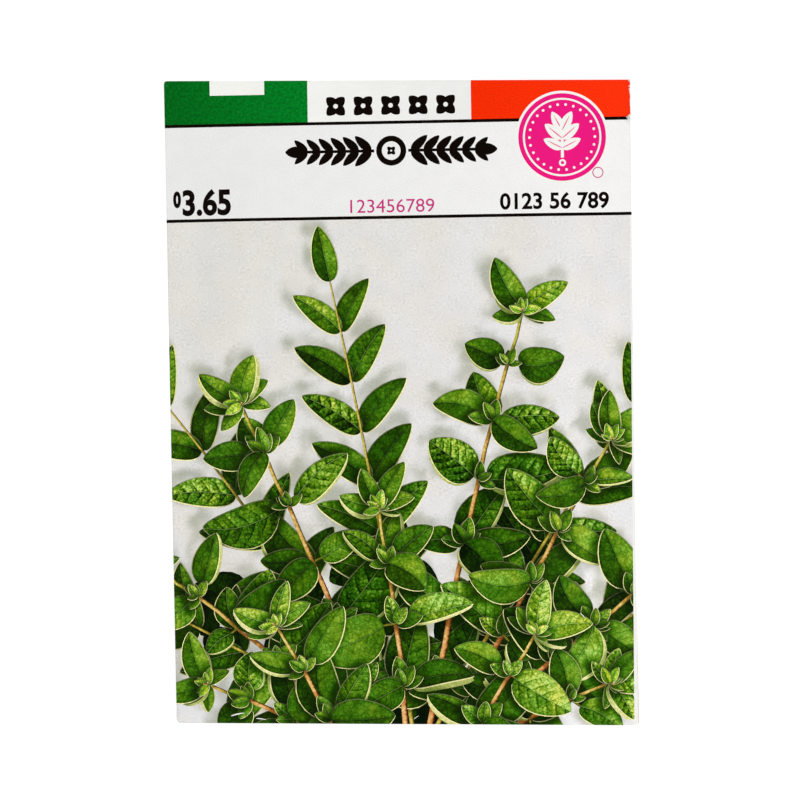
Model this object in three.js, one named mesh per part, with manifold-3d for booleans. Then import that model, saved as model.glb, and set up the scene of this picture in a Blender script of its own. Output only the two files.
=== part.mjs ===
// A paper seed packet lying on its back: one folded and glued sheet of paper, the three glue films
// that close it, and the small drift of seeds inside.
// Millimetres, +Z up and out of the printed front, +Y towards the packet's top, +X to the right.
// The origin is on the resting plane, under the middle of the packet.
import * as THREE from "three";
import { mergeVertices } from "three/addons/utils/BufferGeometryUtils.js";
import Module from "manifold-3d";

// ---- driving dimensions ----
const WIDTH = 82.55; // 3 1/4 in, over the left fold and the back panel's free edge
const HEIGHT = 114.3; // 4 1/2 in, along a side fold
const PAPER = 0.12; // coated label paper
const GLUE = 0.06; // dried glue film
const EDGE_GAP = 0.12; // air between the front panel and the side seam flap, at the folds
const CROWN = 1.5; // how far the middle of the front panel stands above its edges
const CROWN_RISE = { left: 15, right: 19, bottom: 20, top: 27 }; // width of the slope beside each fold
const FOLD_SKEW = Math.tan(THREE.MathUtils.degToRad(0.9)); // the top and bottom folds run down to the right
const CORNER_CUT = 0.5; // each fold stops this short of the front panel's corners
const BACK_EDGE = { outAtBottom: 0.3, inAtTop: 0.9 }; // the back panel's free edge, from the right fold's crest

const TOP_FLAP = { depth: 15, taper: 5.5 };
const BOTTOM_FLAP = { depth: 13, taper: 4.5 };
const SIDE_FLAP = { depth: 12, taper: 6 };

const TOP_GLUE = { length: 64, width: 6, place: 0.6 }; // place: a share of the flap's depth, from its fold
const BOTTOM_GLUE = { length: 68, width: 6, place: 0.6 };
const SIDE_GLUE = { length: 98, width: 6, place: 0.5 };

const SEED = { length: 1.0, width: 0.85, height: 0.62 };
const SEED_TILT = 0.4; // radians, the range of a seed's tilt about its length
const SEED_TURN = { from: 0.6, range: 0.9 }; // radians, which way a seed points
const SEED_PITCH = 0.8; // less than a seed's width, so that neighbours hold together
const SEED_PLAY = 0.03; // how far a seed may lie off the lattice
const SEED_CLEARANCE = 0.06; // above the paper that the seeds lie on
const DRIFT = { x: -6, y: -38, halfLength: 8, halfWidth: 2.6, turn: 0.16 };
const DRIFT_EDGE = { lobes: 3, height: 0.16, turn: 1 }; // how the drift's outline swells and shrinks
const RANDOM_START = 20;

// ---- the middle of each paper layer, from the resting plane up ----
const FLAP_LEVEL = PAPER / 2;
const BACK_LEVEL = FLAP_LEVEL + PAPER + GLUE;
const SIDE_LEVEL = BACK_LEVEL + PAPER + GLUE;
const FRONT_LEVEL = SIDE_LEVEL + PAPER + EDGE_GAP;

// ---- radius of the paper's middle in each fold, and the front panel between the folds ----
const LEFT_RADIUS = (FRONT_LEVEL - BACK_LEVEL) / 2;
const RIGHT_RADIUS = (FRONT_LEVEL - SIDE_LEVEL) / 2;
const END_RADIUS = (FRONT_LEVEL - FLAP_LEVEL) / 2;
const RIGHT_CREST = WIDTH / 2 - BACK_EDGE.outAtBottom;
const PANEL = {
  left: -WIDTH / 2 + LEFT_RADIUS + PAPER / 2,
  right: RIGHT_CREST - RIGHT_RADIUS - PAPER / 2,
  bottom: -HEIGHT / 2 + END_RADIUS + PAPER / 2,
  top: HEIGHT / 2 - END_RADIUS - PAPER / 2,
};

// ---- mesh fineness ----
const COLUMNS = 16;
const ROWS = 22;
const ARC_STEPS = 4;
const BACK_STEPS = 4;
const FLAP_STEPS = 2;

const wasm = await Module();
wasm.setup();

const UP = new THREE.Vector3(0, 0, 1);
const DOWN = new THREE.Vector3(0, 0, -1);
const { lerp, smoothstep } = THREE.MathUtils;

// Height of the front panel's middle: pressed flat along the folds and crowned between them.
function frontHeight(x, y) {
  const across =
    smoothstep(x - PANEL.left, 0, CROWN_RISE.left) * smoothstep(PANEL.right - x, 0, CROWN_RISE.right);
  const along =
    smoothstep(y - PANEL.bottom, 0, CROWN_RISE.bottom) * smoothstep(PANEL.top - y, 0, CROWN_RISE.top);
  return FRONT_LEVEL + CROWN * across * along;
}

// Grid stops from a to b whose first and last steps are the corner cut.
function stopsBetween(a, b, count) {
  const inner = Array.from({ length: count - 1 }, (_, i) =>
    lerp(a + CORNER_CUT, b - CORNER_CUT, i / (count - 2)),
  );
  return [a, ...inner, b];
}

// A folded sheet: named points on the paper's middle, each with its outward normal, and cells of four
// points, counter-clockwise seen from outside. Both faces and the cut edges become one closed surface.
class Sheet {
  points = new Map();
  cells = [];

  place(name, middle, normal) {
    this.points.set(name, { middle, normal });
  }

  geometry() {
    const position = [];
    const triangle = (...corners) => {
      for (const [name, side] of corners) {
        const { middle, normal } = this.points.get(name);
        position.push(...middle.clone().addScaledVector(normal, (side * PAPER) / 2).toArray());
      }
    };
    const cutEdges = new Map();
    for (const [a, b, c, d] of this.cells) {
      triangle([a, 1], [b, 1], [c, 1]);
      triangle([a, 1], [c, 1], [d, 1]);
      triangle([a, -1], [c, -1], [b, -1]);
      triangle([a, -1], [d, -1], [c, -1]);
      for (const [p, q] of [[a, b], [b, c], [c, d], [d, a]]) {
        if (!cutEdges.delete(`${q}|${p}`)) cutEdges.set(`${p}|${q}`, [p, q]);
      }
    }
    for (const [p, q] of cutEdges.values()) {
      triangle([p, 1], [p, -1], [q, -1]);
      triangle([p, 1], [q, -1], [q, 1]);
    }
    return new THREE.BufferGeometry().setAttribute("position", new THREE.Float32BufferAttribute(position, 3));
  }
}

// Adds the fold along one edge of the front panel, from its second point to its last but one, and the wing
// beyond the fold. edge lists the names of the panel's points along that edge, out points away from the
// panel, and wingPoint(i, share) gives x and y at a share of the way to the wing's far edge.
function addWing(sheet, { name, edge, out, radius, level, steps, wingPoint }) {
  const nameAt = (i, k) => (k === 0 ? edge[i] : `${name} ${i} ${k}`);
  for (let i = 1; i < edge.length - 1; i++) {
    const start = sheet.points.get(edge[i]).middle;
    const centre = new THREE.Vector3(start.x, start.y, level + radius);
    for (let k = 1; k <= ARC_STEPS; k++) {
      const angle = (Math.PI * k) / ARC_STEPS;
      const normal = out.clone().multiplyScalar(Math.sin(angle)).addScaledVector(UP, Math.cos(angle));
      sheet.place(nameAt(i, k), centre.clone().addScaledVector(normal, radius), normal);
    }
    for (let k = 1; k <= steps; k++) {
      const [x, y] = wingPoint(i, k / steps);
      sheet.place(nameAt(i, ARC_STEPS + k), new THREE.Vector3(x, y, level), DOWN);
    }
  }
  const turned = out.x < 0 || out.y > 0;
  for (let i = 1; i < edge.length - 2; i++) {
    for (let k = 0; k < ARC_STEPS + steps; k++) {
      const cell = [nameAt(i, k), nameAt(i, k + 1), nameAt(i + 1, k + 1), nameAt(i + 1, k)];
      sheet.cells.push(turned ? cell.reverse() : cell);
    }
  }
}

// Stop i drawn in towards the middle of the row, for a wing whose ends taper.
function taperedStop(stops, i, taper, share) {
  const middle = (stops[1] + stops.at(-2)) / 2;
  const half = (stops.at(-2) - stops[1]) / 2;
  return middle + (stops[i] - middle) * (1 - (share * taper) / half);
}

function envelopeGeometry() {
  const sheet = new Sheet();
  const columns = stopsBetween(PANEL.left, PANEL.right, COLUMNS);
  const rows = stopsBetween(PANEL.bottom, PANEL.top, ROWS);
  const front = (i, j) => `front ${i} ${j}`;
  columns.forEach((x, i) =>
    rows.forEach((y, j) => sheet.place(front(i, j), new THREE.Vector3(x, y, frontHeight(x, y)), UP)),
  );
  for (let i = 0; i < COLUMNS; i++) {
    for (let j = 0; j < ROWS; j++) {
      sheet.cells.push([front(i, j), front(i + 1, j), front(i + 1, j + 1), front(i, j + 1)]);
    }
  }

  // the back panel hangs on the left fold and reaches right across the back
  const rise = (j) => (rows[j] - rows[1]) / (rows.at(-2) - rows[1]);
  const freeEdge = (j) => RIGHT_CREST + lerp(BACK_EDGE.outAtBottom, -BACK_EDGE.inAtTop, rise(j));
  addWing(sheet, {
    name: "back",
    edge: rows.map((_, j) => front(0, j)),
    out: new THREE.Vector3(-1, 0, 0),
    radius: LEFT_RADIUS,
    level: BACK_LEVEL,
    steps: BACK_STEPS,
    wingPoint: (j, share) => [lerp(PANEL.left, freeEdge(j), share), rows[j]],
  });
  // the side seam flap hangs on the right fold, inside the back panel
  addWing(sheet, {
    name: "side",
    edge: rows.map((_, j) => front(COLUMNS, j)),
    out: new THREE.Vector3(1, 0, 0),
    radius: RIGHT_RADIUS,
    level: SIDE_LEVEL,
    steps: FLAP_STEPS,
    wingPoint: (j, share) => [
      PANEL.right - share * SIDE_FLAP.depth,
      taperedStop(rows, j, SIDE_FLAP.taper, share),
    ],
  });
  // the bottom and top flaps go round the outside of the back panel
  addWing(sheet, {
    name: "bottom",
    edge: columns.map((_, i) => front(i, 0)),
    out: new THREE.Vector3(0, -1, 0),
    radius: END_RADIUS,
    level: FLAP_LEVEL,
    steps: FLAP_STEPS,
    wingPoint: (i, share) => [
      taperedStop(columns, i, BOTTOM_FLAP.taper, share),
      PANEL.bottom + share * BOTTOM_FLAP.depth,
    ],
  });
  addWing(sheet, {
    name: "top",
    edge: columns.map((_, i) => front(i, ROWS)),
    out: new THREE.Vector3(0, 1, 0),
    radius: END_RADIUS,
    level: FLAP_LEVEL,
    steps: FLAP_STEPS,
    wingPoint: (i, share) => [
      taperedStop(columns, i, TOP_FLAP.taper, share),
      PANEL.top - share * TOP_FLAP.depth,
    ],
  });
  return sheet.geometry();
}

// A flat film with round ends, its middle at x and y and its underside at z. It is long along x, or along y
// if upright.
function glueGeometry({ length, width }, x, y, z, upright = false) {
  const outline = new THREE.Shape();
  const straight = (length - width) / 2;
  outline.absarc(straight, 0, width / 2, -Math.PI / 2, Math.PI / 2);
  outline.absarc(-straight, 0, width / 2, Math.PI / 2, (3 * Math.PI) / 2);
  const film = new THREE.ExtrudeGeometry(outline, { depth: GLUE, bevelEnabled: false, curveSegments: 8 });
  if (upright) film.rotateZ(Math.PI / 2);
  return film.translate(x, y, z);
}

// Repeatable random numbers from 0 to 1.
function randomFrom(start) {
  let state = start;
  return () => {
    state = (state * 1664525 + 1013904223) % 4294967296;
    return state / 4294967296;
  };
}

function solidOf(geometry) {
  const bare = geometry.clone();
  bare.deleteAttribute("normal");
  bare.deleteAttribute("uv");
  const merged = mergeVertices(bare);
  return new wasm.Manifold(
    new wasm.Mesh({
      numProp: 3,
      vertProperties: merged.attributes.position.array,
      triVerts: new Uint32Array(merged.index.array),
    }),
  );
}

function geometryOf(solid) {
  const { vertProperties, triVerts } = solid.getMesh();
  return new THREE.BufferGeometry()
    .setAttribute("position", new THREE.BufferAttribute(vertProperties, 3))
    .setIndex(new THREE.BufferAttribute(triVerts, 1))
    .toNonIndexed();
}

// The seeds lie one deep on the back panel, on a staggered lattice with some play, each touching the next.
// A stray seed that touches no other is left out.
function seedsGeometry() {
  const random = randomFrom(RANDOM_START);
  const floor = BACK_LEVEL + PAPER / 2 + SEED_CLEARANCE;
  const seeds = [];
  const rowStep = (SEED_PITCH * Math.sqrt(3)) / 2;
  const rowCount = Math.ceil(DRIFT.halfWidth / rowStep);
  const columnCount = Math.ceil(DRIFT.halfLength / SEED_PITCH);
  for (let row = -rowCount; row <= rowCount; row++) {
    for (let column = -columnCount; column <= columnCount; column++) {
      const x = (column + (row % 2) / 2) * SEED_PITCH;
      const y = row * rowStep;
      const lobe = Math.sin(DRIFT_EDGE.lobes * Math.atan2(y, x) + DRIFT_EDGE.turn);
      const edge = 1 + DRIFT_EDGE.height * lobe;
      if (Math.hypot(x / DRIFT.halfLength, y / DRIFT.halfWidth) > edge) continue;
      const seed = new THREE.IcosahedronGeometry(0.5, 0)
        .scale(SEED.length, SEED.width, SEED.height)
        .rotateX((random() - 0.5) * SEED_TILT)
        .rotateZ(SEED_TURN.from + (random() - 0.5) * SEED_TURN.range);
      seed.computeBoundingBox();
      const [playX, playY] = [random(), random()].map((share) => (share - 0.5) * SEED_PLAY);
      seed
        .translate(x + playX, y + playY, floor - seed.boundingBox.min.z)
        .rotateZ(DRIFT.turn)
        .translate(DRIFT.x, DRIFT.y, 0);
      seeds.push(solidOf(seed));
    }
  }
  const [drift] = wasm.Manifold.union(seeds)
    .decompose()
    .sort((a, b) => b.volume() - a.volume());
  return geometryOf(drift);
}

const paper = new THREE.MeshStandardMaterial({ color: 0xeceae6, roughness: 0.45, metalness: 0 });
const glue = new THREE.MeshStandardMaterial({ color: 0xe3d9b8, roughness: 0.35, metalness: 0 });
const seedCoat = new THREE.MeshStandardMaterial({ color: 0x6b4a2c, roughness: 0.7, metalness: 0 });

const skew = new THREE.Matrix4().makeShear(-FOLD_SKEW, 0, 0, 0, 0, 0);
const packet = new THREE.Group();

function add(name, geometry, material) {
  const mesh = new THREE.Mesh(geometry.applyMatrix4(skew), material);
  mesh.name = name;
  packet.add(mesh);
}

const betweenFlapAndBack = FLAP_LEVEL + PAPER / 2;
const betweenBackAndSide = BACK_LEVEL + PAPER / 2;
add("envelope", envelopeGeometry(), paper);
add(
  "glue_top_flap",
  glueGeometry(TOP_GLUE, 0, PANEL.top - TOP_FLAP.depth * TOP_GLUE.place, betweenFlapAndBack),
  glue,
);
add(
  "glue_bottom_flap",
  glueGeometry(BOTTOM_GLUE, 0, PANEL.bottom + BOTTOM_FLAP.depth * BOTTOM_GLUE.place, betweenFlapAndBack),
  glue,
);
add(
  "glue_side_seam",
  glueGeometry(
    SIDE_GLUE,
    PANEL.right - SIDE_FLAP.depth * SIDE_GLUE.place,
    0,
    betweenBackAndSide,
    true,
  ),
  glue,
);
add("seeds", seedsGeometry(), seedCoat);

export default packet;
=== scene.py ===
# %% [markdown]
# # A seed packet: one sheet, printed flat, then cut, folded and glued
#
# A garden seed packet starts as a flat sheet of coated paper. It is printed, cut to an outline with
# wings, folded round its front panel and glued at the back. This lesson builds it in the same order. The
# flat sheet is drawn in millimetres, every printed shape is drawn on it, and only then is the whole sheet
# folded, so that the ink runs round the folds as it does on the real thing.

import math
import random
from functools import partial
from types import SimpleNamespace

import bpy
import numpy as np
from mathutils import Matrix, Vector
from mathutils.geometry import delaunay_2d_cdt


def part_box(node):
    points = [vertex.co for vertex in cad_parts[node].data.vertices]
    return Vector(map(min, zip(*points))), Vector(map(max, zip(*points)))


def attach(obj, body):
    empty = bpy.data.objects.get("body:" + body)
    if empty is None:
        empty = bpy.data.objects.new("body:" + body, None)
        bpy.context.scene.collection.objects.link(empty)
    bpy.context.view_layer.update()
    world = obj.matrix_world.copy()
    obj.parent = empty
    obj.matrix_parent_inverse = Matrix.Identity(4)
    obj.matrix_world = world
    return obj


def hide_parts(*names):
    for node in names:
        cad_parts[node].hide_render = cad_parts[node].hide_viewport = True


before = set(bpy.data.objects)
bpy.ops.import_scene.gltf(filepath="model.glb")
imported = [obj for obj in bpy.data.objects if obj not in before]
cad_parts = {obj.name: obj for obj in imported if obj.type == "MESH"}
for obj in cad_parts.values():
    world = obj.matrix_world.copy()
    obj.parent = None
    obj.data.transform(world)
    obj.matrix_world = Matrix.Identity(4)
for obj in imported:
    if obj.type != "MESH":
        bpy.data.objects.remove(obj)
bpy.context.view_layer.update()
print("frame nodes:", ", ".join(sorted(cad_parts)))

# %% [markdown]
# ## Units and colours
#
# Blender works in metres and in linear light. A packet is easier to think of in millimetres, and its inks
# in the sRGB hex values of a paint box, so one number and one function turn the one into the other.

# %% Units and colours
MM = 0.001


def linear(hex_colour):
    """The linear RGBA of an sRGB hex colour such as "#1a2b3c"."""
    levels = [int(hex_colour[i : i + 2], 16) / 255 for i in (1, 3, 5)]
    return [v / 12.92 if v <= 0.04045 else ((v + 0.055) / 1.055) ** 2.4 for v in levels] + [1.0]


print("bare paper in linear light:", [round(v, 3) for v in linear("#eaeae8")])

# %% [markdown]
# ## The camera
#
# The packet lies on its back and the camera looks down on it from 0.4 m, a little off the upright and a
# little turned, as a hand-held one is. Its place and its three small angles are all that it needs.

# %% The camera
CAMERA_PLACE = (12.17, 16.68, 402.21)  # mm
CAMERA_TURNS = (-2.3015, 1.7532, -0.923)  # degrees about X, Y and Z
FIELD_OF_VIEW = 20.0  # degrees, across the square picture

camera_data = bpy.data.cameras.new("camera")
camera_data.angle = math.radians(FIELD_OF_VIEW)
camera = bpy.data.objects.new("camera", camera_data)
camera.location = Vector(CAMERA_PLACE) * MM
camera.rotation_euler = [math.radians(turn) for turn in CAMERA_TURNS]
bpy.context.scene.collection.objects.link(camera)
bpy.context.scene.camera = camera
print(f"camera at {CAMERA_PLACE[2]:.0f} mm, lens {camera_data.lens:.0f} mm")

# %% [markdown]
# ## The sheet's measures
#
# These are the sizes of the packet itself. The levels are the middles of the paper's layers, counted up
# from the table: the end flaps lie outermost at the back, then the back panel, the side seam flap and the
# front.

# %% The sheet's measures, in mm
WIDTH = 82.55
HEIGHT = 114.3
PAPER = 0.12
GLUE = 0.06
EDGE_GAP = 0.12  # inside the side fold, between the seam flap and the front
CROWN = 1.42
CROWN_RISE = {"left": 15, "right": 19, "bottom": 20, "top": 27}
FOLD_SKEW = math.tan(math.radians(0.9))
SKEW_REACH = 40.25  # the last of each end runs square to its side, so that the corners stay in the frame
CORNER_RADII = {"bottom_left": 0.8, "bottom_right": 0.15, "top_right": 0.1, "top_left": 0.6}
SLIT = 0.04  # between the end folds and the side folds
BACK_EDGE = {"out_at_bottom": 0.3, "in_at_top": 0.9}
TOP_FLAP = {"depth": 15, "taper": 5.5}
BOTTOM_FLAP = {"depth": 13, "taper": 4.5}
SIDE_FLAP = {"depth": 12, "taper": 6}

FLAP_LEVEL = PAPER / 2
BACK_LEVEL = FLAP_LEVEL + PAPER + GLUE
SIDE_LEVEL = BACK_LEVEL + PAPER + GLUE
FRONT_LEVEL = SIDE_LEVEL + PAPER + EDGE_GAP
LEFT_RADIUS = (FRONT_LEVEL - BACK_LEVEL) / 2
RIGHT_RADIUS = (FRONT_LEVEL - SIDE_LEVEL) / 2
END_RADIUS = (FRONT_LEVEL - FLAP_LEVEL) / 2
RIGHT_CREST = WIDTH / 2 - BACK_EDGE["out_at_bottom"]
LEFT = -WIDTH / 2 + LEFT_RADIUS + PAPER / 2
RIGHT = RIGHT_CREST - RIGHT_RADIUS - PAPER / 2
BOTTOM = -HEIGHT / 2 + END_RADIUS + PAPER / 2
TOP = HEIGHT / 2 - END_RADIUS - PAPER / 2
cad_low, cad_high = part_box("envelope")
print(f"sheet {WIDTH} mm wide, frame {(cad_high.x - cad_low.x) / MM:.2f} mm wide")

# %% [markdown]
# ## The front panel's height
#
# A sealed packet is pressed flat along its folds and stands up a little between them, with soft ripples
# and steps where the glued flaps and the seeds lie beneath. Cloth could be simulated for this, but a
# formula of height is exact, is the same each time, and can be asked at any point of the sheet.

# %% The front panel's height
RIPPLES = (  # waves per mm across, waves per mm along, height in mm
    (0.021, 0.034, 0.030),
    (-0.052, 0.027, 0.016),
    (0.093, -0.071, 0.007),
)
PRESSED = 6  # mm beside the folds, over which the ripples and steps begin
STEP_WIDTH = 1.6  # mm, how softly the front shows the edge of a flap beneath
STEP_HEIGHT = 0.035


def smoothstep(value, low, high):
    """0 below low, 1 above high, and a soft rise between them."""
    share = np.clip((value - low) / (high - low), 0, 1)
    return share * share * (3 - 2 * share)


def front_height(s, t):
    """Height of the paper's middle over the front panel, at s across and t along the panel."""
    across = smoothstep(s - LEFT, 0, CROWN_RISE["left"]) * smoothstep(RIGHT - s, 0, CROWN_RISE["right"])
    along = smoothstep(t - BOTTOM, 0, CROWN_RISE["bottom"]) * smoothstep(TOP - t, 0, CROWN_RISE["top"])
    free = smoothstep(s - LEFT, 0, PRESSED) * smoothstep(RIGHT - s, 0, PRESSED)
    free = free * smoothstep(t - BOTTOM, 0, PRESSED) * smoothstep(TOP - t, 0, PRESSED)
    ripple = sum(h * np.sin(2 * math.pi * (a * s + b * t)) for a, b, h in RIPPLES)
    top_step = 1 - smoothstep(TOP - t, TOP_FLAP["depth"] - STEP_WIDTH, TOP_FLAP["depth"])
    bottom_step = 1 - smoothstep(t - BOTTOM, BOTTOM_FLAP["depth"] - STEP_WIDTH, BOTTOM_FLAP["depth"])
    steps = STEP_HEIGHT * (top_step + bottom_step)
    return FRONT_LEVEL + CROWN * across * along + free * (ripple + steps)


print(f"the middle of the front stands at {front_height(0.0, 0.0):.2f} mm")

# %% [markdown]
# ## Folding
#
# A folding machine turns each wing of the sheet round a blade. One function does the same: it takes
# points of the flat sheet to their places on the folded packet. Beyond each edge of the front panel the
# paper runs round a half circle, and from there flat across the back. The slope of each point is worked
# out as well, so that the paper is shaded smoothly.

# %% Folding
SLOPE_STEP = 0.05  # mm, between the heights that give a slope


def folded(points):
    """Places of the paper's middle and its outward normals, in mm, for points of the flat sheet."""
    s = points[:, 0]
    t = points[:, 1] + FOLD_SKEW * s
    x, y, z = s.copy(), t.copy(), front_height(s, t)
    slope_s = (front_height(s + SLOPE_STEP, t) - front_height(s - SLOPE_STEP, t)) / (2 * SLOPE_STEP)
    slope_t = (front_height(s, t + SLOPE_STEP) - front_height(s, t - SLOPE_STEP)) / (2 * SLOPE_STEP)
    normal = np.stack([-slope_s - FOLD_SKEW * slope_t, -slope_t, np.ones(len(s))], axis=1)
    wings = (
        (LEFT - s, x, 0, -1, LEFT_RADIUS, BACK_LEVEL),
        (s - RIGHT, x, 0, 1, RIGHT_RADIUS, SIDE_LEVEL),
        (BOTTOM - t, y, 1, -1, END_RADIUS, FLAP_LEVEL),
        (t - TOP, y, 1, 1, END_RADIUS, FLAP_LEVEL),
    )
    for beyond, place, axis, side, radius, level in wings:
        on_wing = beyond > 0
        turn = np.minimum(beyond[on_wing] / radius, math.pi)
        flat = np.maximum(beyond[on_wing] - math.pi * radius, 0)
        place[on_wing] += side * (radius * np.sin(turn) - flat - beyond[on_wing])
        z[on_wing] = level + radius * (1 + np.cos(turn))
        normal[on_wing, axis] = side * np.sin(turn)
        normal[on_wing, 2] *= np.cos(turn)
    y -= FOLD_SKEW * np.clip(x, -SKEW_REACH, SKEW_REACH)
    return np.stack([x, y, z], axis=1), normal / np.linalg.norm(normal, axis=1, keepdims=True)


left_crest = np.array([[LEFT - math.pi / 2 * LEFT_RADIUS, 0.0]])
print("the left fold's crest lies at", folded(left_crest)[0].round(2)[0], "mm")

# %% [markdown]
# ## The folds' stops and corners
#
# A half-circle fold is drawn with a few straight stops, and each stop is a corner of the cut outline too,
# so that both faces of the paper bend at the same lines. Where an end fold meets a side fold, a handled
# packet is soft and rounded, the lower left corner most. So at each stop the wings are cut back by the
# rounding that the corner has there, and between the wings a hair of space is left, as a die leaves it.

# %% The folds' stops and corners
ARC_STEPS = 8
FIRST_STOP = 0.01  # of a step: the first stop lies a hair past the panel's edge, so that it folds
GRID = 1.3  # mm between the points that carry the front panel's shape


def fold_stops(radius):
    """Distances of the stops from the panel's edge."""
    return [math.pi * radius * max(k, FIRST_STOP) / ARC_STEPS for k in range(ARC_STEPS + 1)]


def corner_reach(corner_name, own_radius, other_radius, stop):
    """How far the folded corner reaches past the panel's edge towards the other fold's crest.

    own_radius is that of the fold that stop counts round, and other_radius that of the fold it runs into.
    """
    rounding = CORNER_RADII[corner_name]
    drop = (own_radius + PAPER / 2) * (1 - math.sin(math.pi * stop / ARC_STEPS))
    within = max(rounding - drop, 0)
    return other_radius + PAPER / 2 - rounding + math.sqrt(rounding**2 - within**2)


def end_fold_sides(end):
    """Where the fold of one end starts and stops across the sheet, at each of its stops."""
    sides = []
    for stop in range(ARC_STEPS + 1):
        reach = []
        for side, radius in (("left", LEFT_RADIUS), ("right", RIGHT_RADIUS)):
            past = corner_reach(f"{end}_{side}", END_RADIUS, radius, stop)
            if stop == ARC_STEPS:
                past = min(past, -SLIT)
            elif past > 0:
                past = radius * math.asin(min(past / (radius + PAPER / 2), 1))
            reach.append(past)
        sides.append((LEFT - reach[0], RIGHT + reach[1]))
    return sides


def side_fold_ends(side, radius):
    """Where the fold of one side starts and stops along the sheet, at each of its stops."""
    ends = []
    for stop in range(ARC_STEPS + 1):
        reach = (corner_reach(f"{end}_{side}", radius, END_RADIUS, stop) for end in ("bottom", "top"))
        low, high = (min(past, -SLIT) for past in reach)
        ends.append((BOTTOM - low, TOP + high))
    return ends


print("the left fold runs from", round(side_fold_ends("left", LEFT_RADIUS)[0][0], 2), "mm")

# %% [markdown]
# ## The cut outline
#
# The die cuts the sheet with four wings round the front panel: a flap at each end, with rounded and
# tapered tips, the back panel at the left and the narrow seam flap at the right. The outline is a list of
# points, so that the same loop can cut the sheet, carry the print and give the paper its edge.

# %% The cut outline
TIP = {"radius": 2, "inset": 1.6, "lean": 20}  # mm, mm and degrees: the rounded corners of the end flaps


def corner(centre, radius, start, end, steps=5):
    """Points of a rounded corner, from one angle in degrees to another."""
    angles = [math.radians(start + (end - start) * k / steps) for k in range(steps + 1)]
    return [(centre[0] + radius * math.cos(a), centre[1] + radius * math.sin(a)) for a in angles]


def flap_tip(span, flap, far, side):
    """The two corners at the free edge of an end flap, counter-clockwise; side 1 is the top flap."""
    height = far - side * TIP["radius"]
    left, right = span[0] + flap["taper"] + TIP["inset"], span[1] - flap["taper"] - TIP["inset"]
    first, last = ((left, height), (right, height))[::-side]
    start, middle, end = (180, 270, 360) if side < 0 else (0, 90, 180)
    points = corner(first, TIP["radius"], start + TIP["lean"], middle)
    return points + corner(last, TIP["radius"], middle, end - TIP["lean"])


def sheet_outline():
    """The flat sheet's outline, counter-clockwise, at s across and t along the panel."""
    end_stops, left_stops, right_stops = map(fold_stops, (END_RADIUS, LEFT_RADIUS, RIGHT_RADIUS))
    spans = end_fold_sides("bottom")
    points = [(low, BOTTOM - d) for (low, _), d in zip(spans, end_stops)]
    points += flap_tip(spans[-1], BOTTOM_FLAP, BOTTOM - end_stops[-1] - BOTTOM_FLAP["depth"], -1)
    points += [(high, BOTTOM - d) for (_, high), d in zip(spans[::-1], end_stops[::-1])]
    spans = side_fold_ends("right", RIGHT_RADIUS)
    points += [(RIGHT + d, low) for (low, _), d in zip(spans, right_stops)]
    far = RIGHT + right_stops[-1] + SIDE_FLAP["depth"]
    points += [(far, spans[-1][0] + SIDE_FLAP["taper"]), (far, spans[-1][1] - SIDE_FLAP["taper"])]
    points += [(RIGHT + d, high) for (_, high), d in zip(spans[::-1], right_stops[::-1])]
    spans = end_fold_sides("top")
    points += [(high, TOP + d) for (_, high), d in zip(spans, end_stops)]
    points += flap_tip(spans[-1], TOP_FLAP, TOP + end_stops[-1] + TOP_FLAP["depth"], 1)
    points += [(low, TOP + d) for (low, _), d in zip(spans[::-1], end_stops[::-1])]
    spans = side_fold_ends("left", LEFT_RADIUS)
    points += [(LEFT - d, high) for (_, high), d in zip(spans, left_stops)]
    far = LEFT - left_stops[-1] + LEFT - RIGHT_CREST
    points.append((far + BACK_EDGE["in_at_top"], spans[-1][1]))
    points.append((far - BACK_EDGE["out_at_bottom"], spans[-1][0]))
    points += [(LEFT - d, low) for (low, _), d in zip(spans[::-1], left_stops[::-1])]
    return points


def on_sheet(points):
    """Points at s and t as places on the flat print, whose lines run square to the left fold."""
    return [(s, t - FOLD_SKEW * s) for s, t in points]


outline = on_sheet(sheet_outline())
print("the cut outline has", len(outline), "points")

# %% [markdown]
# ## Printed shapes
#
# Offset printing lays flat shapes of ink over each other. Each shape is kept as an outline with its ink,
# and later shapes cover earlier ones. Leaves and stems also carry a small frame of their own, with an
# origin, a direction and two scales, so that their ink can be shaded along and across them.

# %% A list of printed shapes
shapes = []
NO_FRAME = {"origin": (0, 0), "scale": (1, 1), "form": (1, 1, 0), "tone": (0, 1, 0), "pose": (1, 0, 0)}


def show(outline, ink, angle=0.0, **own_frame):
    """Adds a shape over those already there. angle is the direction of its own first axis."""
    along = (math.cos(angle), math.sin(angle))
    shapes.append({"outline": outline, "ink": ink, "along": along, **NO_FRAME, **own_frame})


def bar(left, bottom, right, top):
    return [(left, bottom), (right, bottom), (right, top), (left, top)]


def disc(x, y, radius, steps=36):
    angles = [2 * math.pi * k / steps for k in range(steps)]
    return [(x + radius * math.cos(a), y + radius * math.sin(a)) for a in angles]


print("no shape printed yet:", len(shapes))

# %% [markdown]
# ## The leaf outline
#
# Every leaf, in the picture and in the ornaments, comes from one formula: a half width that rises fast
# from the base and falls slowly to the tip. The ink's shading uses the same formula later, to know how
# far a point is from the leaf's edge.

# %% The leaf outline
LEAF_RISE = 0.44
LEAF_FALL = 0.7
LEAF_STEPS = 11
leaf_widest = LEAF_RISE / (LEAF_RISE + LEAF_FALL)
LEAF_NORM = 1 / (leaf_widest**LEAF_RISE * (1 - leaf_widest) ** LEAF_FALL)


def half_width(u):
    """A leaf's half width at u from base 0 to tip 1; 1 at the widest place."""
    return LEAF_NORM * max(u, 0) ** LEAF_RISE * max(1 - u, 0) ** LEAF_FALL


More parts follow.
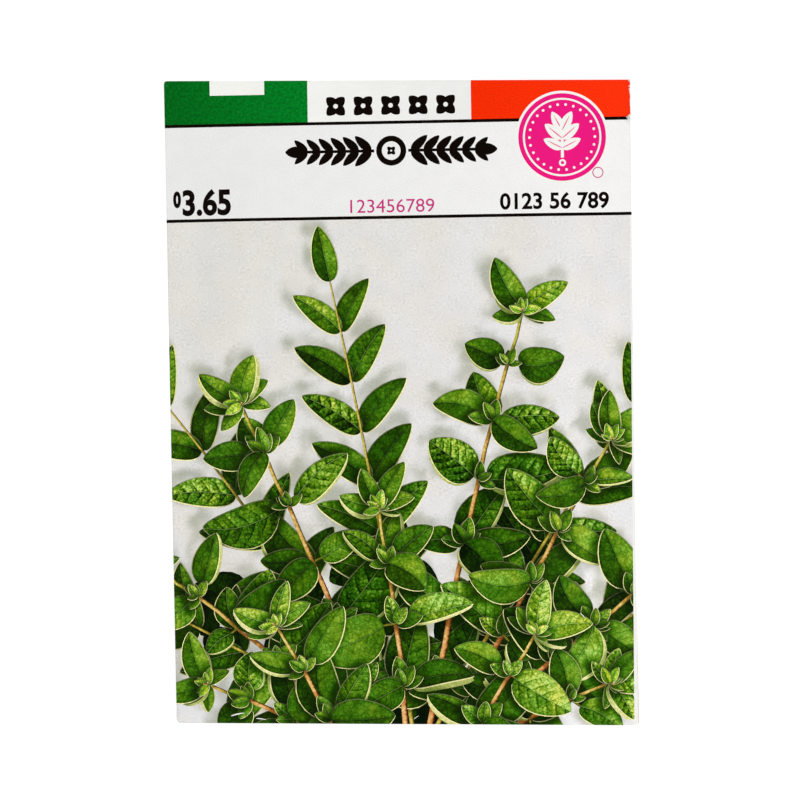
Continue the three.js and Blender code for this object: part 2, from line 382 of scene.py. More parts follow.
def leaf_outline(base, angle, length, left, right, bend=0.0):
    """left and right are the half widths and bend the bow of the midrib, in shares of the length."""
    stops = [(1 - math.cos(math.pi * k / LEAF_STEPS)) / 2 for k in range(LEAF_STEPS + 1)]
    sides = [(u, -right * half_width(u)) for u in stops]
    sides += [(u, left * half_width(u)) for u in reversed(stops[1:-1])]
    c, s = math.cos(angle) * length, math.sin(angle) * length
    points = [(u, v + bend * 4 * u * (1 - u)) for u, v in sides]
    return [(base[0] + u * c - v * s, base[1] + u * s + v * c) for u, v in points]


print(f"a leaf is widest at {leaf_widest:.2f} of its length")

# %% [markdown]
# ## The picture's ground
#
# Below the header the packet carries a picture, printed in four colours on a pale ground. The ground is
# laid first. It runs past the folds by a printer's bleed, so that a fold that is a little off still shows
# ink.

# %% The picture's ground
show(outline, "bare")
BLEED = 4.0
PICTURE_TOP = 32.8
PICTURE_END = {"top": -0.12, "bottom": -0.42}  # mm, counted out from the right fold: the plate sits askew
ground_bottom = BOTTOM - BLEED - 1


def picture_end(y):
    """Where the picture stops at the right, at a height on the sheet."""
    share = (y - BOTTOM) / (PICTURE_TOP - BOTTOM)
    return RIGHT + PICTURE_END["bottom"] + share * (PICTURE_END["top"] - PICTURE_END["bottom"])


ground = bar(LEFT - BLEED, ground_bottom, RIGHT, PICTURE_TOP)
ground[1:3] = [(picture_end(y), y) for y in (ground_bottom, PICTURE_TOP)]
show(ground, "ground")
print("ground laid:", len(shapes), "shapes")

# %% [markdown]
# ## One leaf
#
# A leaf lies at an angle to the light, so one half is lighter than the other. Many leaves turn up along
# one side, and their pale underside shows there: that is a second leaf, laid first and leaning out a
# little. All chance comes from one generator with a fixed seed, so the picture is the same each time.

# %% One leaf
LIGHT_ANGLE = 35  # degrees
LIGHT = (math.cos(math.radians(LIGHT_ANGLE)), math.sin(math.radians(LIGHT_ANGLE)))
UNDERSIDE = {"lean": 1.1, "length": 0.98}  # radians for each share turned up, and a share of the leaf
draw = random.Random(23)


def degrees(low, high):
    """An angle in radians, drawn between two limits in degrees."""
    return math.radians(draw.uniform(low, high))


def facing(angle):
    """How far the direction turns to the light, from -1 to 1."""
    return math.cos(angle) * LIGHT[0] + math.sin(angle) * LIGHT[1]


def leaf(base, angle, length, left, right, bend=0.0, age=0.0, light=1.0, turned=0.0):
    """Half widths, bend and the turned-up underside are shares of the length; age 1 is young and yellow."""
    across = angle + math.pi / 2
    own_frame = {
        "origin": base,
        "angle": angle,
        "scale": (length, length),
        "form": (left, right, bend),
        "tone": (age, light, draw.random()),
        "pose": (length, facing(across), -math.sin(across)),
    }
    if turned:
        to_left = math.sin(across) < 0
        lean = turned * (UNDERSIDE["lean"] if to_left else -UNDERSIDE["lean"])
        under = (left + turned * to_left, right + turned * (not to_left))
        turned_up = leaf_outline(base, angle + lean, length * UNDERSIDE["length"], *under, bend)
        show(turned_up, "underside", **own_frame)
    show(leaf_outline(base, angle, length, left, right, bend), "leaf", **own_frame)


print("light comes from", LIGHT_ANGLE, "degrees")

# %% [markdown]
# ## Builds of leaf
#
# No two leaves of a plant look alike from one side: some lie open, some are tilted along the midrib so
# that one half looks narrow, and some point at the eye and look short and wide. Three builds, drawn at
# random, give that variety from the one outline.

# %% Builds of leaf
OPEN, OPEN_OR_TILTED = 0.45, 0.8  # shares of all leaves; the rest are foreshortened
HALF_WIDTHS = (0.28, 0.35)
OPEN_OTHER_HALF = (0.85, 1)  # in shares of the wider half
TILTED_OTHER_HALF = (0.4, 0.7)
TILTED_LENGTH = 1.04
FORESHORTENED = {"length": 0.76, "left": 1.22, "right": 1.16}
BENDS = (-0.12, 0.12)
LIGHT_SPREAD = (0.72, 1.22)
TILTED_UNDERSIDES = (0, 0.02, 0.035, 0.055)  # what shows of the underside
SHORT_UNDERSIDES = (0, 0, 0.03)


def grown_leaf(base, angle, size, age, light):
    """A leaf of a build drawn at random."""
    build = draw.random()
    wide = draw.uniform(*HALF_WIDTHS)
    bend = draw.uniform(*BENDS)
    light *= draw.uniform(*LIGHT_SPREAD)
    if build < OPEN:
        leaf(base, angle, size, wide, wide * draw.uniform(*OPEN_OTHER_HALF), bend, age, light)
    elif build < OPEN_OR_TILTED:
        halves = [wide, wide * draw.uniform(*TILTED_OTHER_HALF)]
        turned = draw.choice(TILTED_UNDERSIDES)
        leaf(base, angle, size * TILTED_LENGTH, *draw.sample(halves, 2), bend, age, light, turned)
    else:
        turned = draw.choice(SHORT_UNDERSIDES)
        left, right = wide * FORESHORTENED["left"], wide * FORESHORTENED["right"]
        leaf(base, angle, size * FORESHORTENED["length"], left, right, bend, age, light, turned)


print("foreshortened leaves:", round(1 - OPEN_OR_TILTED, 2), "of all")

# %% [markdown]
# ## Stems
#
# A stem is a chain of short bars whose widths fall from its root to its tip. Each bar keeps a frame of
# its own, so that its ink can be shaded across as a rod is. A curve with a bevel would be round in the
# mesh, but ink is flat: only its tone is round.

# %% Stems
def stem(path, widths, age, light=1.0):
    """path is the stem's points in mm and widths its half width at each."""
    path = [Vector(p) for p in path]
    sides = []
    for i, point in enumerate(path):
        ahead = (path[min(i + 1, len(path) - 1)] - path[max(i - 1, 0)]).normalized()
        square = Vector((-ahead.y, ahead.x)) * widths[i]
        sides.append((point + square, point - square))
    for i in range(len(path) - 1):
        run = path[i + 1] - path[i]
        show(
            [tuple(p) for p in (sides[i][1], sides[i + 1][1], sides[i + 1][0], sides[i][0])],
            "stem",
            math.atan2(run.y, run.x),
            origin=tuple(path[i]),
            scale=(1, (widths[i] + widths[i + 1]) / 2),
            tone=(age, light, draw.random()),
        )


print("a bar of stem is drawn with 4 corners")

# %% [markdown]
# ## Shoots and tufts
#
# A herb of the mint family carries small shoots in the corners of its leaves, and each of its stems ends
# in a tuft of young leaves round a head of buds. Both are fans of small leaves from one point.

# %% Shoots and tufts
SHOOT_LEAVES = ((-46, 1), (44, 1), (0, 0.8))  # turn from the shoot in degrees, share of its size
SHOOT_SPREAD = {"size": (0.75, 1.05), "turn": (-14, 14), "half": (0.22, 0.36)}
TUFT_LEAVES = ((-122, 0.5), (112, 0.55), (-80, 0.72), (70, 0.66), (-36, 1.0), (32, 0.94))
TUFT_SPREAD = {"size": (0.8, 1.15), "turn": (-16, 16), "half": (0.18, 0.3), "age": (0.1, 0.5)}
TUFT_UNDERSIDES = (0, 0, 0.06)
BUD_LEAVES = {"count": 6, "pitch": 34, "back": 0.4}  # degrees between them, mm behind the tip
BUD_SPREAD = {"size": (0.18, 0.36), "turn": (-14, 14), "age": (0.7, 1.2)}
BUDS = {"count": 3, "spread": (-0.5, 0.5), "radius": 0.16}  # mm


def shoot(base, heading, size, age, light):
    """A small shoot in the corner of a leaf."""
    for turn, share in SHOOT_LEAVES:
        reach = size * draw.uniform(*SHOOT_SPREAD["size"]) * share
        angle = heading + math.radians(turn) + degrees(*SHOOT_SPREAD["turn"])
        leaf(base, angle, reach, draw.uniform(*SHOOT_SPREAD["half"]), right=0.3, age=age, light=light)


def tuft(tip, heading, size, light):
    """The young leaves and buds at a sprig's end."""
    for turn, share in TUFT_LEAVES:
        reach = size * share * draw.uniform(*TUFT_SPREAD["size"])
        angle = heading + math.radians(turn) + degrees(*TUFT_SPREAD["turn"])
        turned = draw.choice(TUFT_UNDERSIDES)
        wide, age = draw.uniform(*TUFT_SPREAD["half"]), draw.uniform(*TUFT_SPREAD["age"])
        leaf(tip, angle, reach, wide, right=0.25, bend=0.05, age=age, light=light, turned=turned)
    start = [at - BUD_LEAVES["back"] * part for at, part in zip(tip, (math.cos(heading), math.sin(heading)))]
    for k in range(BUD_LEAVES["count"]):
        turn = (k - (BUD_LEAVES["count"] - 1) / 2) * BUD_LEAVES["pitch"]
        angle = heading + math.radians(turn) + degrees(*BUD_SPREAD["turn"])
        reach, age = size * draw.uniform(*BUD_SPREAD["size"]), draw.uniform(*BUD_SPREAD["age"])
        leaf(start, angle, reach, left=0.3, right=0.24, age=age, light=light)
    for k in range(BUDS["count"]):
        x, y = (at + draw.uniform(*BUDS["spread"]) for at in tip)
        show(disc(x, y, BUDS["radius"], steps=6), "stem", origin=tip)


print("a tuft has", len(TUFT_LEAVES) + BUD_LEAVES["count"], "leaves and a shoot", len(SHOOT_LEAVES))

# %% [markdown]
# ## A sprig's leaves
#
# The leaves stand in pairs, each pair crosswise to the last. Seen from above, one pair lies out to the
# sides, and the next shows one leaf over the stem and one under it. Each of these is laid by a function
# of its own, because the over leaf has to wait until the stem is drawn.

# %% A sprig's leaves
STALK = {"length": (0.8, 2.4), "widths": (0.26, 0.17)}  # mm
SIDE_LEAF = {"lean": 104, "closing": 54, "spread": (-26, 26), "twist": (-12, 12), "size": (0.75, 1.15)}
OVER_LEAF = {"lean": (95, 165), "size": (0.72, 0.98), "light": 1.06}
UNDER_LEAF = {"lean": (-40, 40), "size": (0.75, 1), "light": 0.68}


def side_pair(place, heading, size, share, age, light):
    """Two leaves to the sides; share is how far along the sprig they stand."""
    for side in (-1, 1):
        lean = math.radians(SIDE_LEAF["lean"] - SIDE_LEAF["closing"] * share)
        angle = heading + side * (lean + degrees(*SIDE_LEAF["spread"]))
        stalk = draw.uniform(*STALK["length"])
        base = (place[0] + stalk * math.cos(angle), place[1] + stalk * math.sin(angle))
        stem([place, base], STALK["widths"], age=0.7, light=light)
        angle += degrees(*SIDE_LEAF["twist"])
        grown_leaf(base, angle, size * draw.uniform(*SIDE_LEAF["size"]), age, light)


def over_leaf(place, heading, size, age, light):
    """The leaf of a crossing pair that lies over the stem."""
    angle = heading + draw.choice((-1, 1)) * degrees(*OVER_LEAF["lean"])
    grown_leaf(place, angle, size * draw.uniform(*OVER_LEAF["size"]), age, light * OVER_LEAF["light"])


def under_leaf(place, heading, size, age, light):
    """The leaf of a crossing pair that lies under the stem."""
    angle = heading + degrees(*UNDER_LEAF["lean"])
    grown_leaf(place, angle, size * draw.uniform(*UNDER_LEAF["size"]), age, light * UNDER_LEAF["light"])


print("a sprig's leaves stand on stalks of", STALK["length"], "mm")

# %% [markdown]
# ## A sprig
#
# Copies of one leaf could be scattered along a curve, but a sprig changes all the way up: its stem thins,
# and its leaves grow smaller and younger. One function grows it along a bowed path, from the root up, so
# that later leaves cover earlier ones, as they do on the plant.

# %% A sprig
RUN_SHARE = 0.95  # each run of the stem against the one before
BULGE = (-0.3, 0.3)  # mm, by which a run of the stem bows
STEM_SHRINK = 0.5
LEAF_SHRINK = {"share": 0.42, "power": 1.5}
AGES = {"tip": 0.4, "spread": (-0.1, 0.14), "shoot": 0.15}
SIDE_PAIR = {"crossed": 0.78, "light": 0.94}  # size where the pair crosses the stem
SHOOTS = {"share": 0.7, "lean": (24, 50), "size": (0.26, 0.42)}  # share of the corners that carry one
TUFT = {"size": 0.62, "light": 1.05}


def sprig(root, heading, length, pairs, size, bow=0.0, light=1.0, width=0.6):
    """Grows a sprig from root; bow turns its path by that many degrees on the way to the tip."""
    steps = [RUN_SHARE**k for k in range(pairs + 1)]
    place, turned = Vector(root), math.radians(heading)
    for k in range(pairs):
        share = k / pairs
        run = length * steps[k] / sum(steps)
        turned += math.radians(bow) / pairs
        ahead = Vector((math.cos(turned), math.sin(turned)))
        bulge = Vector((-ahead.y, ahead.x)) * draw.uniform(*BULGE)
        following = place + ahead * run
        grown = size * (1 - LEAF_SHRINK["share"] * share ** LEAF_SHRINK["power"])
        age = AGES["tip"] * share**2 + draw.uniform(*AGES["spread"])
        thick, thin = (width * (1 - STEM_SHRINK * at) for at in (share, share + 1 / pairs))
        crossing = k % 2 == 1
        if crossing:
            under_leaf(place, turned, grown, age, light)
        if k:
            pair_size = grown * (SIDE_PAIR["crossed"] if crossing else 1)
            side_pair(place, turned, pair_size, share, age, light * SIDE_PAIR["light"])
        stem([place, place + ahead * run / 2 + bulge, following], [thick, thin, thin], share**2, light)
        for side in (-1, 1):
            angle = turned + side * degrees(*SHOOTS["lean"])
            if k and draw.random() < SHOOTS["share"]:
                shoot(place, angle, grown * draw.uniform(*SHOOTS["size"]), age + AGES["shoot"], light)
        if crossing:
            over_leaf(place, turned, grown, age, light)
        place = following
    tuft(place, turned, size * TUFT["size"], light * TUFT["light"])


print("shoots stand in", SHOOTS["share"], "of the corners")

# %% [markdown]
# ## A feathered leaf
#
# A compound leaf has its leaflets in pairs along a rib, the longest near the middle. The rib is drawn
# last, because it lies on top. These leaves stand behind the sprigs and fill the bunch with a finer
# pattern.

# %% A feathered leaf
RIB = {"widths": (0.42, 0.4), "shrink": 0.24, "age": 0.6}  # mm, at the two ends of each piece
LEAFLETS = {"first": 0.82, "rise": 0.5, "fall": 0.62, "last": 0.8}  # lengths, in shares of the size
LEAFLET_LEAN = {"root": 62, "closing": 22, "spread": (-6, 6)}  # degrees
LEAFLET_SPREAD = {"half": (0.2, 0.25), "light": (0.8, 1.2), "other_half": (0.7, 1)}


def feather(root, heading, length, pairs, size, bow=0.0, light=1.0):
    """A compound leaf: one rib with pairs of leaflets, and one leaflet at its tip."""
    place, turned = Vector(root), math.radians(heading)
    ribs = []
    for k in range(pairs + 1):
        share = k / pairs
        turned += math.radians(bow) / pairs
        following = place + Vector((math.cos(turned), math.sin(turned))) * length / (pairs + 1)
        ribs.append(([place, following], [width - RIB["shrink"] * share for width in RIB["widths"]]))
        place = following
        grown = size * (LEAFLETS["first"] + LEAFLETS["rise"] * share - LEAFLETS["fall"] * share**3)
        for side in (-1, 1):
            if k < pairs:
                lean = math.radians(LEAFLET_LEAN["root"] - LEAFLET_LEAN["closing"] * share)
                angle = turned + side * lean + degrees(*LEAFLET_LEAN["spread"])
                wide = draw.uniform(*LEAFLET_SPREAD["half"])
                shine = light * draw.uniform(*LEAFLET_SPREAD["light"])
                other = wide * draw.uniform(*LEAFLET_SPREAD["other_half"])
                leaf(place, angle, grown, wide, other, bend=-side * 0.05, age=0.25 * share, light=shine)
    leaf(place, turned, size * LEAFLETS["last"], left=0.24, right=0.22, age=0.3, light=light)
    for path, widths in ribs:
        stem(path, widths, RIB["age"], light)


print("a rib is", RIB["widths"][0] * 2, "mm wide at its root")

# %% [markdown]
# ## The bunch of herbs
#
# The picture is a bunch that fans out evenly from the middle of the lower edge, as in a kitchen print.
# Deep green leaves fill the shade at its foot first. Feathered leaves stand at the back, and the sprigs
# come last.

# %% The bunch of herbs
SHADE = {"count": 30, "around": (20, 160), "reach": (2, 46), "length": (8, 13), "light": (0.16, 0.38)}
SHADE_FOOT = (2, -58)  # where the fan of shade leaves starts, in mm
SHADE_HEIGHT = 0.8  # of its width
FEATHERS = (  # root x and y, heading, length, pairs, leaflet length, bow, light
    ((-3, -58), 118, 80, 7, 13.0, 10, 0.8),
    ((5, -58), 62, 78, 7, 13.0, -8, 0.82),
    ((1, -58), 97, 81, 8, 12.6, 4, 0.84),
    ((-6, -58), 144, 54, 5, 12.5, 10, 0.8),
    ((9, -58), 38, 50, 5, 12.5, -10, 0.82),
)
SPRIGS = (  # root x and y, heading, length, pairs, leaf length, bow, light
    ((3, -62), 80, 90, 7, 16.0, -6, 0.9),
    ((-4, -62), 107, 77, 6, 16.0, 8, 0.92),
    ((7, -62), 66, 72, 6, 15.5, -8, 0.94),
    ((-8, -60), 132, 56, 5, 15.5, 12, 0.98),
    ((11, -60), 47, 56, 5, 15.5, -12, 1.0),
    ((-12, -60), 152, 34, 3, 15.0, 6, 1.0),
    ((14, -60), 28, 32, 3, 15.0, -6, 1.0),
    ((0, -62), 92, 54, 4, 15.5, 6, 1.02),
    ((-9, -66), 112, 40, 3, 15.0, 8, 1.06),
    ((9, -66), 66, 38, 3, 15.0, -8, 1.08),
)

for k in range(SHADE["count"]):
    around, reach = degrees(*SHADE["around"]), draw.uniform(*SHADE["reach"])
    foot_x, foot_y = SHADE_FOOT
    place = (foot_x + reach * math.cos(around), foot_y + reach * math.sin(around) * SHADE_HEIGHT)
    angle, length = degrees(0, 360), draw.uniform(*SHADE["length"])
    leaf(place, angle, length, left=0.36, right=0.32, light=draw.uniform(*SHADE["light"]))
for grow, plan in ((feather, FEATHERS), (sprig, SPRIGS)):
    for row in plan:
        grow(*row)
print("with the picture:", len(shapes), "shapes")

# %% [markdown]
# ## Past the bleed
#
# The picture stops at the bleed, and at the right a little inside the fold. Bare paper covers whatever
# grew past it.

# %% Past the bleed
PAST = 40  # mm, more than any leaf reaches
lowest = ground_bottom - PAST
right_edge = [(picture_end(y), y) for y in (PICTURE_TOP, lowest)]
for edge in (
    bar(LEFT - PAST, lowest, LEFT - BLEED, TOP),
    right_edge + [(RIGHT + PAST, lowest), (RIGHT + PAST, PICTURE_TOP)],
    bar(LEFT - PAST, lowest, RIGHT + PAST, ground_bottom),
):
    show(edge, "bare")
print("with the bare edges:", len(shapes), "shapes")

# %% [markdown]
# ## Nicks
#
# A packet that has been handled carries a few short, faint nicks near its lower edge and on the picture,
# where the ink is gone to the paper.

# %% Nicks
NICKS = (  # x and y, direction in degrees, length in mm
    (-31.5, -55.3, 12, 2.6),
    (-27.0, -55.8, -8, 1.9),
    (1.2, -56.2, 35, 1.1),
    (35.6, 31.4, 80, 0.7),
    (31.0, -37.5, -50, 1.3),
)
NICK_SHAPE = (0.05, 0.04, 0.03)  # half widths and bend, in shares of the length
for x, y, direction, length in NICKS:
    show(leaf_outline((x, y), math.radians(direction), length, *NICK_SHAPE), "bare")
print("nicks:", len(NICKS))

# %% [markdown]
# ## Bands
#
# The header is plain letterpress geometry: a pale panel, a green band with a bare notch, a red band and a
# white middle. Each band is a bar of ink that runs past the folds by the bleed.

# %% Bands
RULES = {"upper": 49.75, "lower": 33.02, "thickness": 0.56}
GREEN_END = -15.86
RED_START = 12.97
NOTCH = {"left": -33.15, "right": -23.48, "bottom": 55.02}
over = TOP + BLEED

show(bar(LEFT - BLEED, PICTURE_TOP, RIGHT + BLEED, RULES["upper"]), "header")
show(bar(LEFT - BLEED, RULES["upper"], GREEN_END, over), "green")
show(bar(NOTCH["left"], NOTCH["bottom"], NOTCH["right"], over + 1), "bare")
show(bar(RED_START, RULES["upper"], RIGHT + BLEED, over), "red")
show(bar(GREEN_END, RULES["upper"], RED_START, over), "white")
print("bands:", len(shapes), "shapes")

# %% [markdown]
# ## Rosettes
#
# Rosettes are printer's flowers: cast type that prints an ornament. Four leaves set crosswise, a heart
# and an eye of paper make one, and five of them in a row fill the white middle band.

# %% Rosettes and rings
HEADER_CENTRE = -1.2
ROSETTES = {"y": 52.75, "count": 5, "pitch": 4.85, "petal": 1.72}
ROSETTE = {"leaf": 1.28, "fatness": 0.42, "heart": 0.72, "eye": 0.24}  # in shares of the petal


def solid_leaf(base, angle, length, fatness, ink):
    show(leaf_outline(base, angle, length, fatness, fatness), ink)


def rosette(x, y, petal, ink, paper):
    for k in range(4):
        angle = math.pi / 4 + k * math.pi / 2
        solid_leaf((x, y), angle, petal * ROSETTE["leaf"], ROSETTE["fatness"], ink)
    show(disc(x, y, petal * ROSETTE["heart"], steps=20), ink)
    show(disc(x, y, petal * ROSETTE["eye"], steps=16), paper)


def ring(x, y, radius, stroke, ink, paper):
    show(disc(x, y, radius), ink)
    show(disc(x, y, radius - stroke), paper)


for k in range(ROSETTES["count"]):
    offset = (k - (ROSETTES["count"] - 1) / 2) * ROSETTES["pitch"]
    rosette(HEADER_CENTRE + offset, ROSETTES["y"], ROSETTES["petal"], "black", "white")
print("with rosettes:", len(shapes), "shapes")

# %% [markdown]
# ## Leaf sprays
#
# A spray of solid leaves runs to each side of a ring. It is a printer's flower as well: one stem, and
# pairs of leaves that grow shorter to the tip.

# %% Leaf sprays
SPRAY = {"y": 44.75, "half_length": 18.7, "height": 5.3, "pairs": 6, "lean": 44, "half_stem": 0.26}
SPRAY_RING = {"radius": 2.65, "stroke": 1.0, "gap": 0.35, "petal": 0.72}
SPRAY_LEAF = {"first": 0.04, "fatness": 0.21, "shorter": 0.25}
SPRAY_TIP = {"at": 0.8, "length": 0.2, "fatness": 0.33}
STEM_SHARE = 0.86  # of the spray's length


def spray(x, y, side, length):
    """A stem that runs sideways from x with pairs of leaves."""
    end = x + side * length * STEM_SHARE
    show(bar(min(x, end), y - SPRAY["half_stem"], max(x, end), y + SPRAY["half_stem"]), "black")
    lean = math.radians(SPRAY["lean"])
    for k in range(SPRAY["pairs"]):
        share = k / SPRAY["pairs"]
        base = (x + side * length * (SPRAY_LEAF["first"] + STEM_SHARE * share), y)
        reach = SPRAY["height"] / 2 / math.sin(lean) * (1 - SPRAY_LEAF["shorter"] * share)
        for up in (1, -1):
            angle = math.pi / 2 - side * (math.pi / 2 - lean)
            solid_leaf(base, up * angle, reach, SPRAY_LEAF["fatness"], "black")
    tip = (x + side * length * SPRAY_TIP["at"], y)
    solid_leaf(tip, 0 if side > 0 else math.pi, length * SPRAY_TIP["length"], SPRAY_TIP["fatness"], "black")


ring(HEADER_CENTRE, SPRAY["y"], SPRAY_RING["radius"], SPRAY_RING["stroke"], "black", "header")
rosette(HEADER_CENTRE, SPRAY["y"], SPRAY_RING["petal"], "black", "header")
spray_length = SPRAY["half_length"] - SPRAY_RING["radius"] - SPRAY_RING["gap"]
for side in (-1, 1):
    start = HEADER_CENTRE + side * (SPRAY_RING["radius"] + SPRAY_RING["gap"])
    spray(start, SPRAY["y"], side, spray_length)
print("with sprays:", len(shapes), "shapes")

# %% [markdown]
# ## Plain numbers
#
# Blender's built-in font gives round, even figures. A text object is turned into a mesh once, and its
# triangles are printed as shapes, so that the open eyes of 0, 6, 8 and 9 stay paper.

# %% Plain numbers
FIGURES = (  # text, left end, foot, height, width and extra weight, ink
    ("0", -40.0, 35.3, 3.0, 1.4, 0.06, "black"),
    ("3.65", -38.35, 33.85, 4.75, 8.7, 0.036, "black"),
    ("123456789", -8.55, 33.85, 2.35, 14.8, 0.0, "pink"),
    ("0123 56 789", 17.8, 33.95, 3.0, 19.2, 0.026, "black"),
)
CURVE_STEPS = 5
SLIVER = 1e-5  # faces under this area are left out


def figures(text, x, y, height, width, weight, ink):
    """Prints figures with their left end at x, their foot at y, and a height and width in mm."""
    curve = bpy.data.curves.new("figures", "FONT")
    curve.body = text
    curve.offset = weight
    curve.resolution_u = CURVE_STEPS
    holder = bpy.data.objects.new("figures", curve)
    mesh = holder.to_mesh()
    corners = np.array([v.co[:2] for v in mesh.vertices])
    low, high = corners.min(0), corners.max(0)
    places = (corners - low) / (high - low) * (width, height) + (x, y)
    for face in mesh.polygons:
        if face.area > SLIVER:
            show([tuple(places[i]) for i in face.vertices], ink)
    holder.to_mesh_clear()
    bpy.data.objects.remove(holder)
    bpy.data.curves.remove(curve)


for row in FIGURES:
    figures(*row)
print("with figures:", len(shapes), "shapes")

# %% [markdown]
# ## Rules
#
# Two thin black rules close the header. They are printed after the bands and the figures, so that a
# band's edge is hidden beneath its rule and needs no exact fit.

# %% Rules
for y in (RULES["upper"], RULES["lower"]):
    half = RULES["thickness"] / 2
    show(bar(LEFT - BLEED, y - half, RIGHT + BLEED, y + half), "black")
print("rules are", RULES["thickness"], "mm thick")

# %% [markdown]
# ## The round badge
#
# A badge in one bright ink sits across the red band and the upper rule. It holds a plain seedling,
# knocked out of the ink so that the paper makes the white.

# %% The round badge
BADGE = {"x": 28.9, "y": 46.6, "radius": 8.15, "edge": 0.45, "ring_at": 6.9, "ring": 0.34}
BEADS = {"count": 26, "at": 5.75, "radius": 0.24}
STALKS = {"half_width": 0.26, "low": 3.6, "high": 1.6}
BADGE_LEAVES = ((-1.9, 26, 3.6), (-0.2, 40, 3.9), (1.2, 62, 3.7))  # lift, lean in degrees, length
BADGE_LEAF = {"fatness": 0.25, "vein": 0.03, "vein_length": 0.8}
SEED_RING = {"below": 4.5, "outer": 0.62, "inner": 0.3}
EMPTY_RING = (35.1, 40.3, 0.98, 0.17)  # x, y, radius, stroke


def badge(x, y):
    ring_at = BADGE["ring_at"]
    for radius, ink, steps in (
        (BADGE["radius"], "bare", 72),
        (BADGE["radius"] - BADGE["edge"], "magenta", 72),
        (ring_at, "bare", 64),
        (ring_at - BADGE["ring"], "magenta", 64),
    ):
        show(disc(x, y, radius, steps), ink)
    for k in range(BEADS["count"]):
        turn = 2 * math.pi * k / BEADS["count"]
        place = (x + BEADS["at"] * math.cos(turn), y + BEADS["at"] * math.sin(turn))
        show(disc(*place, BEADS["radius"], 10), "bare")
    half = STALKS["half_width"]
    show(bar(x - half, y - STALKS["low"], x + half, y + STALKS["high"]), "bare")
    for side in (-1, 1):
        for lift, turn, length in BADGE_LEAVES:
            base, angle = (x, y + lift), math.pi / 2 - side * math.pi / 2 + side * math.radians(turn)
            solid_leaf(base, angle, length, BADGE_LEAF["fatness"], "bare")
            solid_leaf(base, angle, length * BADGE_LEAF["vein_length"], BADGE_LEAF["vein"], "magenta")
    show(disc(x, y - SEED_RING["below"], SEED_RING["outer"], steps=20), "bare")
    show(disc(x, y - SEED_RING["below"], SEED_RING["inner"], steps=16), "magenta")


badge(BADGE["x"], BADGE["y"])
ring(*EMPTY_RING, "pink", "header")
print("with the badge:", len(shapes), "shapes")

# %% [markdown]
# ## One plane of ink
#
# On paper there is no stack of shapes: each point shows one ink. Blender's constrained Delaunay
# triangulation cuts the sheet into triangles that never cross an outline. A triangle then takes the ink
# of the last shape that its centre lies in. Extra points carry the folds, the front's gentle crown and
# the soft shadows beside the leaves.

# %% Points and lines that carry the form
NEAR_FOLD = (0.2, 0.45, 0.85)  # mm inside the panel, where fold wear fades
SHADOW_RING = 0.75  # mm outside a leaf, where its shadow fades
RING_STEPS = 10
LONG_EDGE = 2.0  # mm, the most that a straight printed edge may span over the crowned panel
BACK = {"grid": 5.0, "width": 79, "left": 2, "bottom": 3, "top": 2}  # mm: points, reach and margins
TINY = 1e-9


def fold_lines():
    """The stops of the four folds, as rows of points at s and t."""
    lines = []
    along, across = round((TOP - BOTTOM) / GRID), round((RIGHT - LEFT) / GRID)
    for edge, side, radius, name in ((LEFT, -1, LEFT_RADIUS, "left"), (RIGHT, 1, RIGHT_RADIUS, "right")):
        for (low, high), d in zip(side_fold_ends(name, radius), fold_stops(radius)):
            lines.append([(edge + side * d, t) for t in np.linspace(low, high, along)])
    for edge, side, name in ((BOTTOM, -1, "bottom"), (TOP, 1, "top")):
        for (low, high), d in zip(end_fold_sides(name), fold_stops(END_RADIUS)):
            lines.append([(s, edge + side * d) for s in np.linspace(low, high, across)])
    return lines


def form_points():
    """Free points over the front panel, more of them near its folds, and a few on the back."""
    across = list(np.linspace(LEFT, RIGHT, round((RIGHT - LEFT) / GRID) + 1)[1:-1])
    along = list(np.linspace(BOTTOM, TOP, round((TOP - BOTTOM) / GRID) + 1)[1:-1])
    across += [LEFT + d for d in NEAR_FOLD] + [RIGHT - d for d in NEAR_FOLD]
    along += [BOTTOM + d for d in NEAR_FOLD] + [TOP - d for d in NEAR_FOLD]
    points = [(s, t) for s in across for t in along]
    back_across = np.arange(LEFT - BACK["width"], LEFT - BACK["left"], BACK["grid"])
    back_along = np.arange(BOTTOM + BACK["bottom"], TOP - BACK["top"], BACK["grid"])
    return points + [(s, t) for s in back_across for t in back_along]


print(len(form_points()), "points carry the form")

# %% [markdown]
# ## Points along the print
#
# A long straight edge of ink would cut a chord through the crowned panel, so it gets points of its own.
# Round each leaf goes a ring of points too: shadows are worked out at points, and have to fade between
# two of them.

# %% Points along the print
def split_edges(loop):
    """The same outline with points added along its long edges."""
    split = []
    for start, end in zip(loop, loop[1:] + loop[:1]):
        count = max(1, math.ceil(math.dist(start, end) / LONG_EDGE))
        split += [tuple(start[i] + (end[i] - start[i]) * k / count for i in (0, 1)) for k in range(count)]
    return split


def ring_points(shape, gap):
    """Points round a leaf, gap outside its outline."""
    outline = np.array(shape["outline"])
    ahead = np.roll(outline, -1, axis=0) - np.roll(outline, 1, axis=0)
    outward = np.stack([ahead[:, 1], -ahead[:, 0]], axis=1)
    outward /= np.maximum(np.linalg.norm(outward, axis=1, keepdims=True), TINY)
    chosen = range(0, len(outline), max(1, len(outline) // RING_STEPS))
    return [tuple(outline[i] + gap * outward[i]) for i in chosen]


print("the sheet's outline grows to", len(split_edges(outline)), "points")

# %% [markdown]
# ## Which shape lies on top
#
# Two tests find the ink of a place. A place is inside an outline if a ray from it crosses that outline an
# odd number of times, and the ink that shows is that of the last shape that holds it. Sorting the places
# by height first means that each shape is tried only against the few that are level with it.

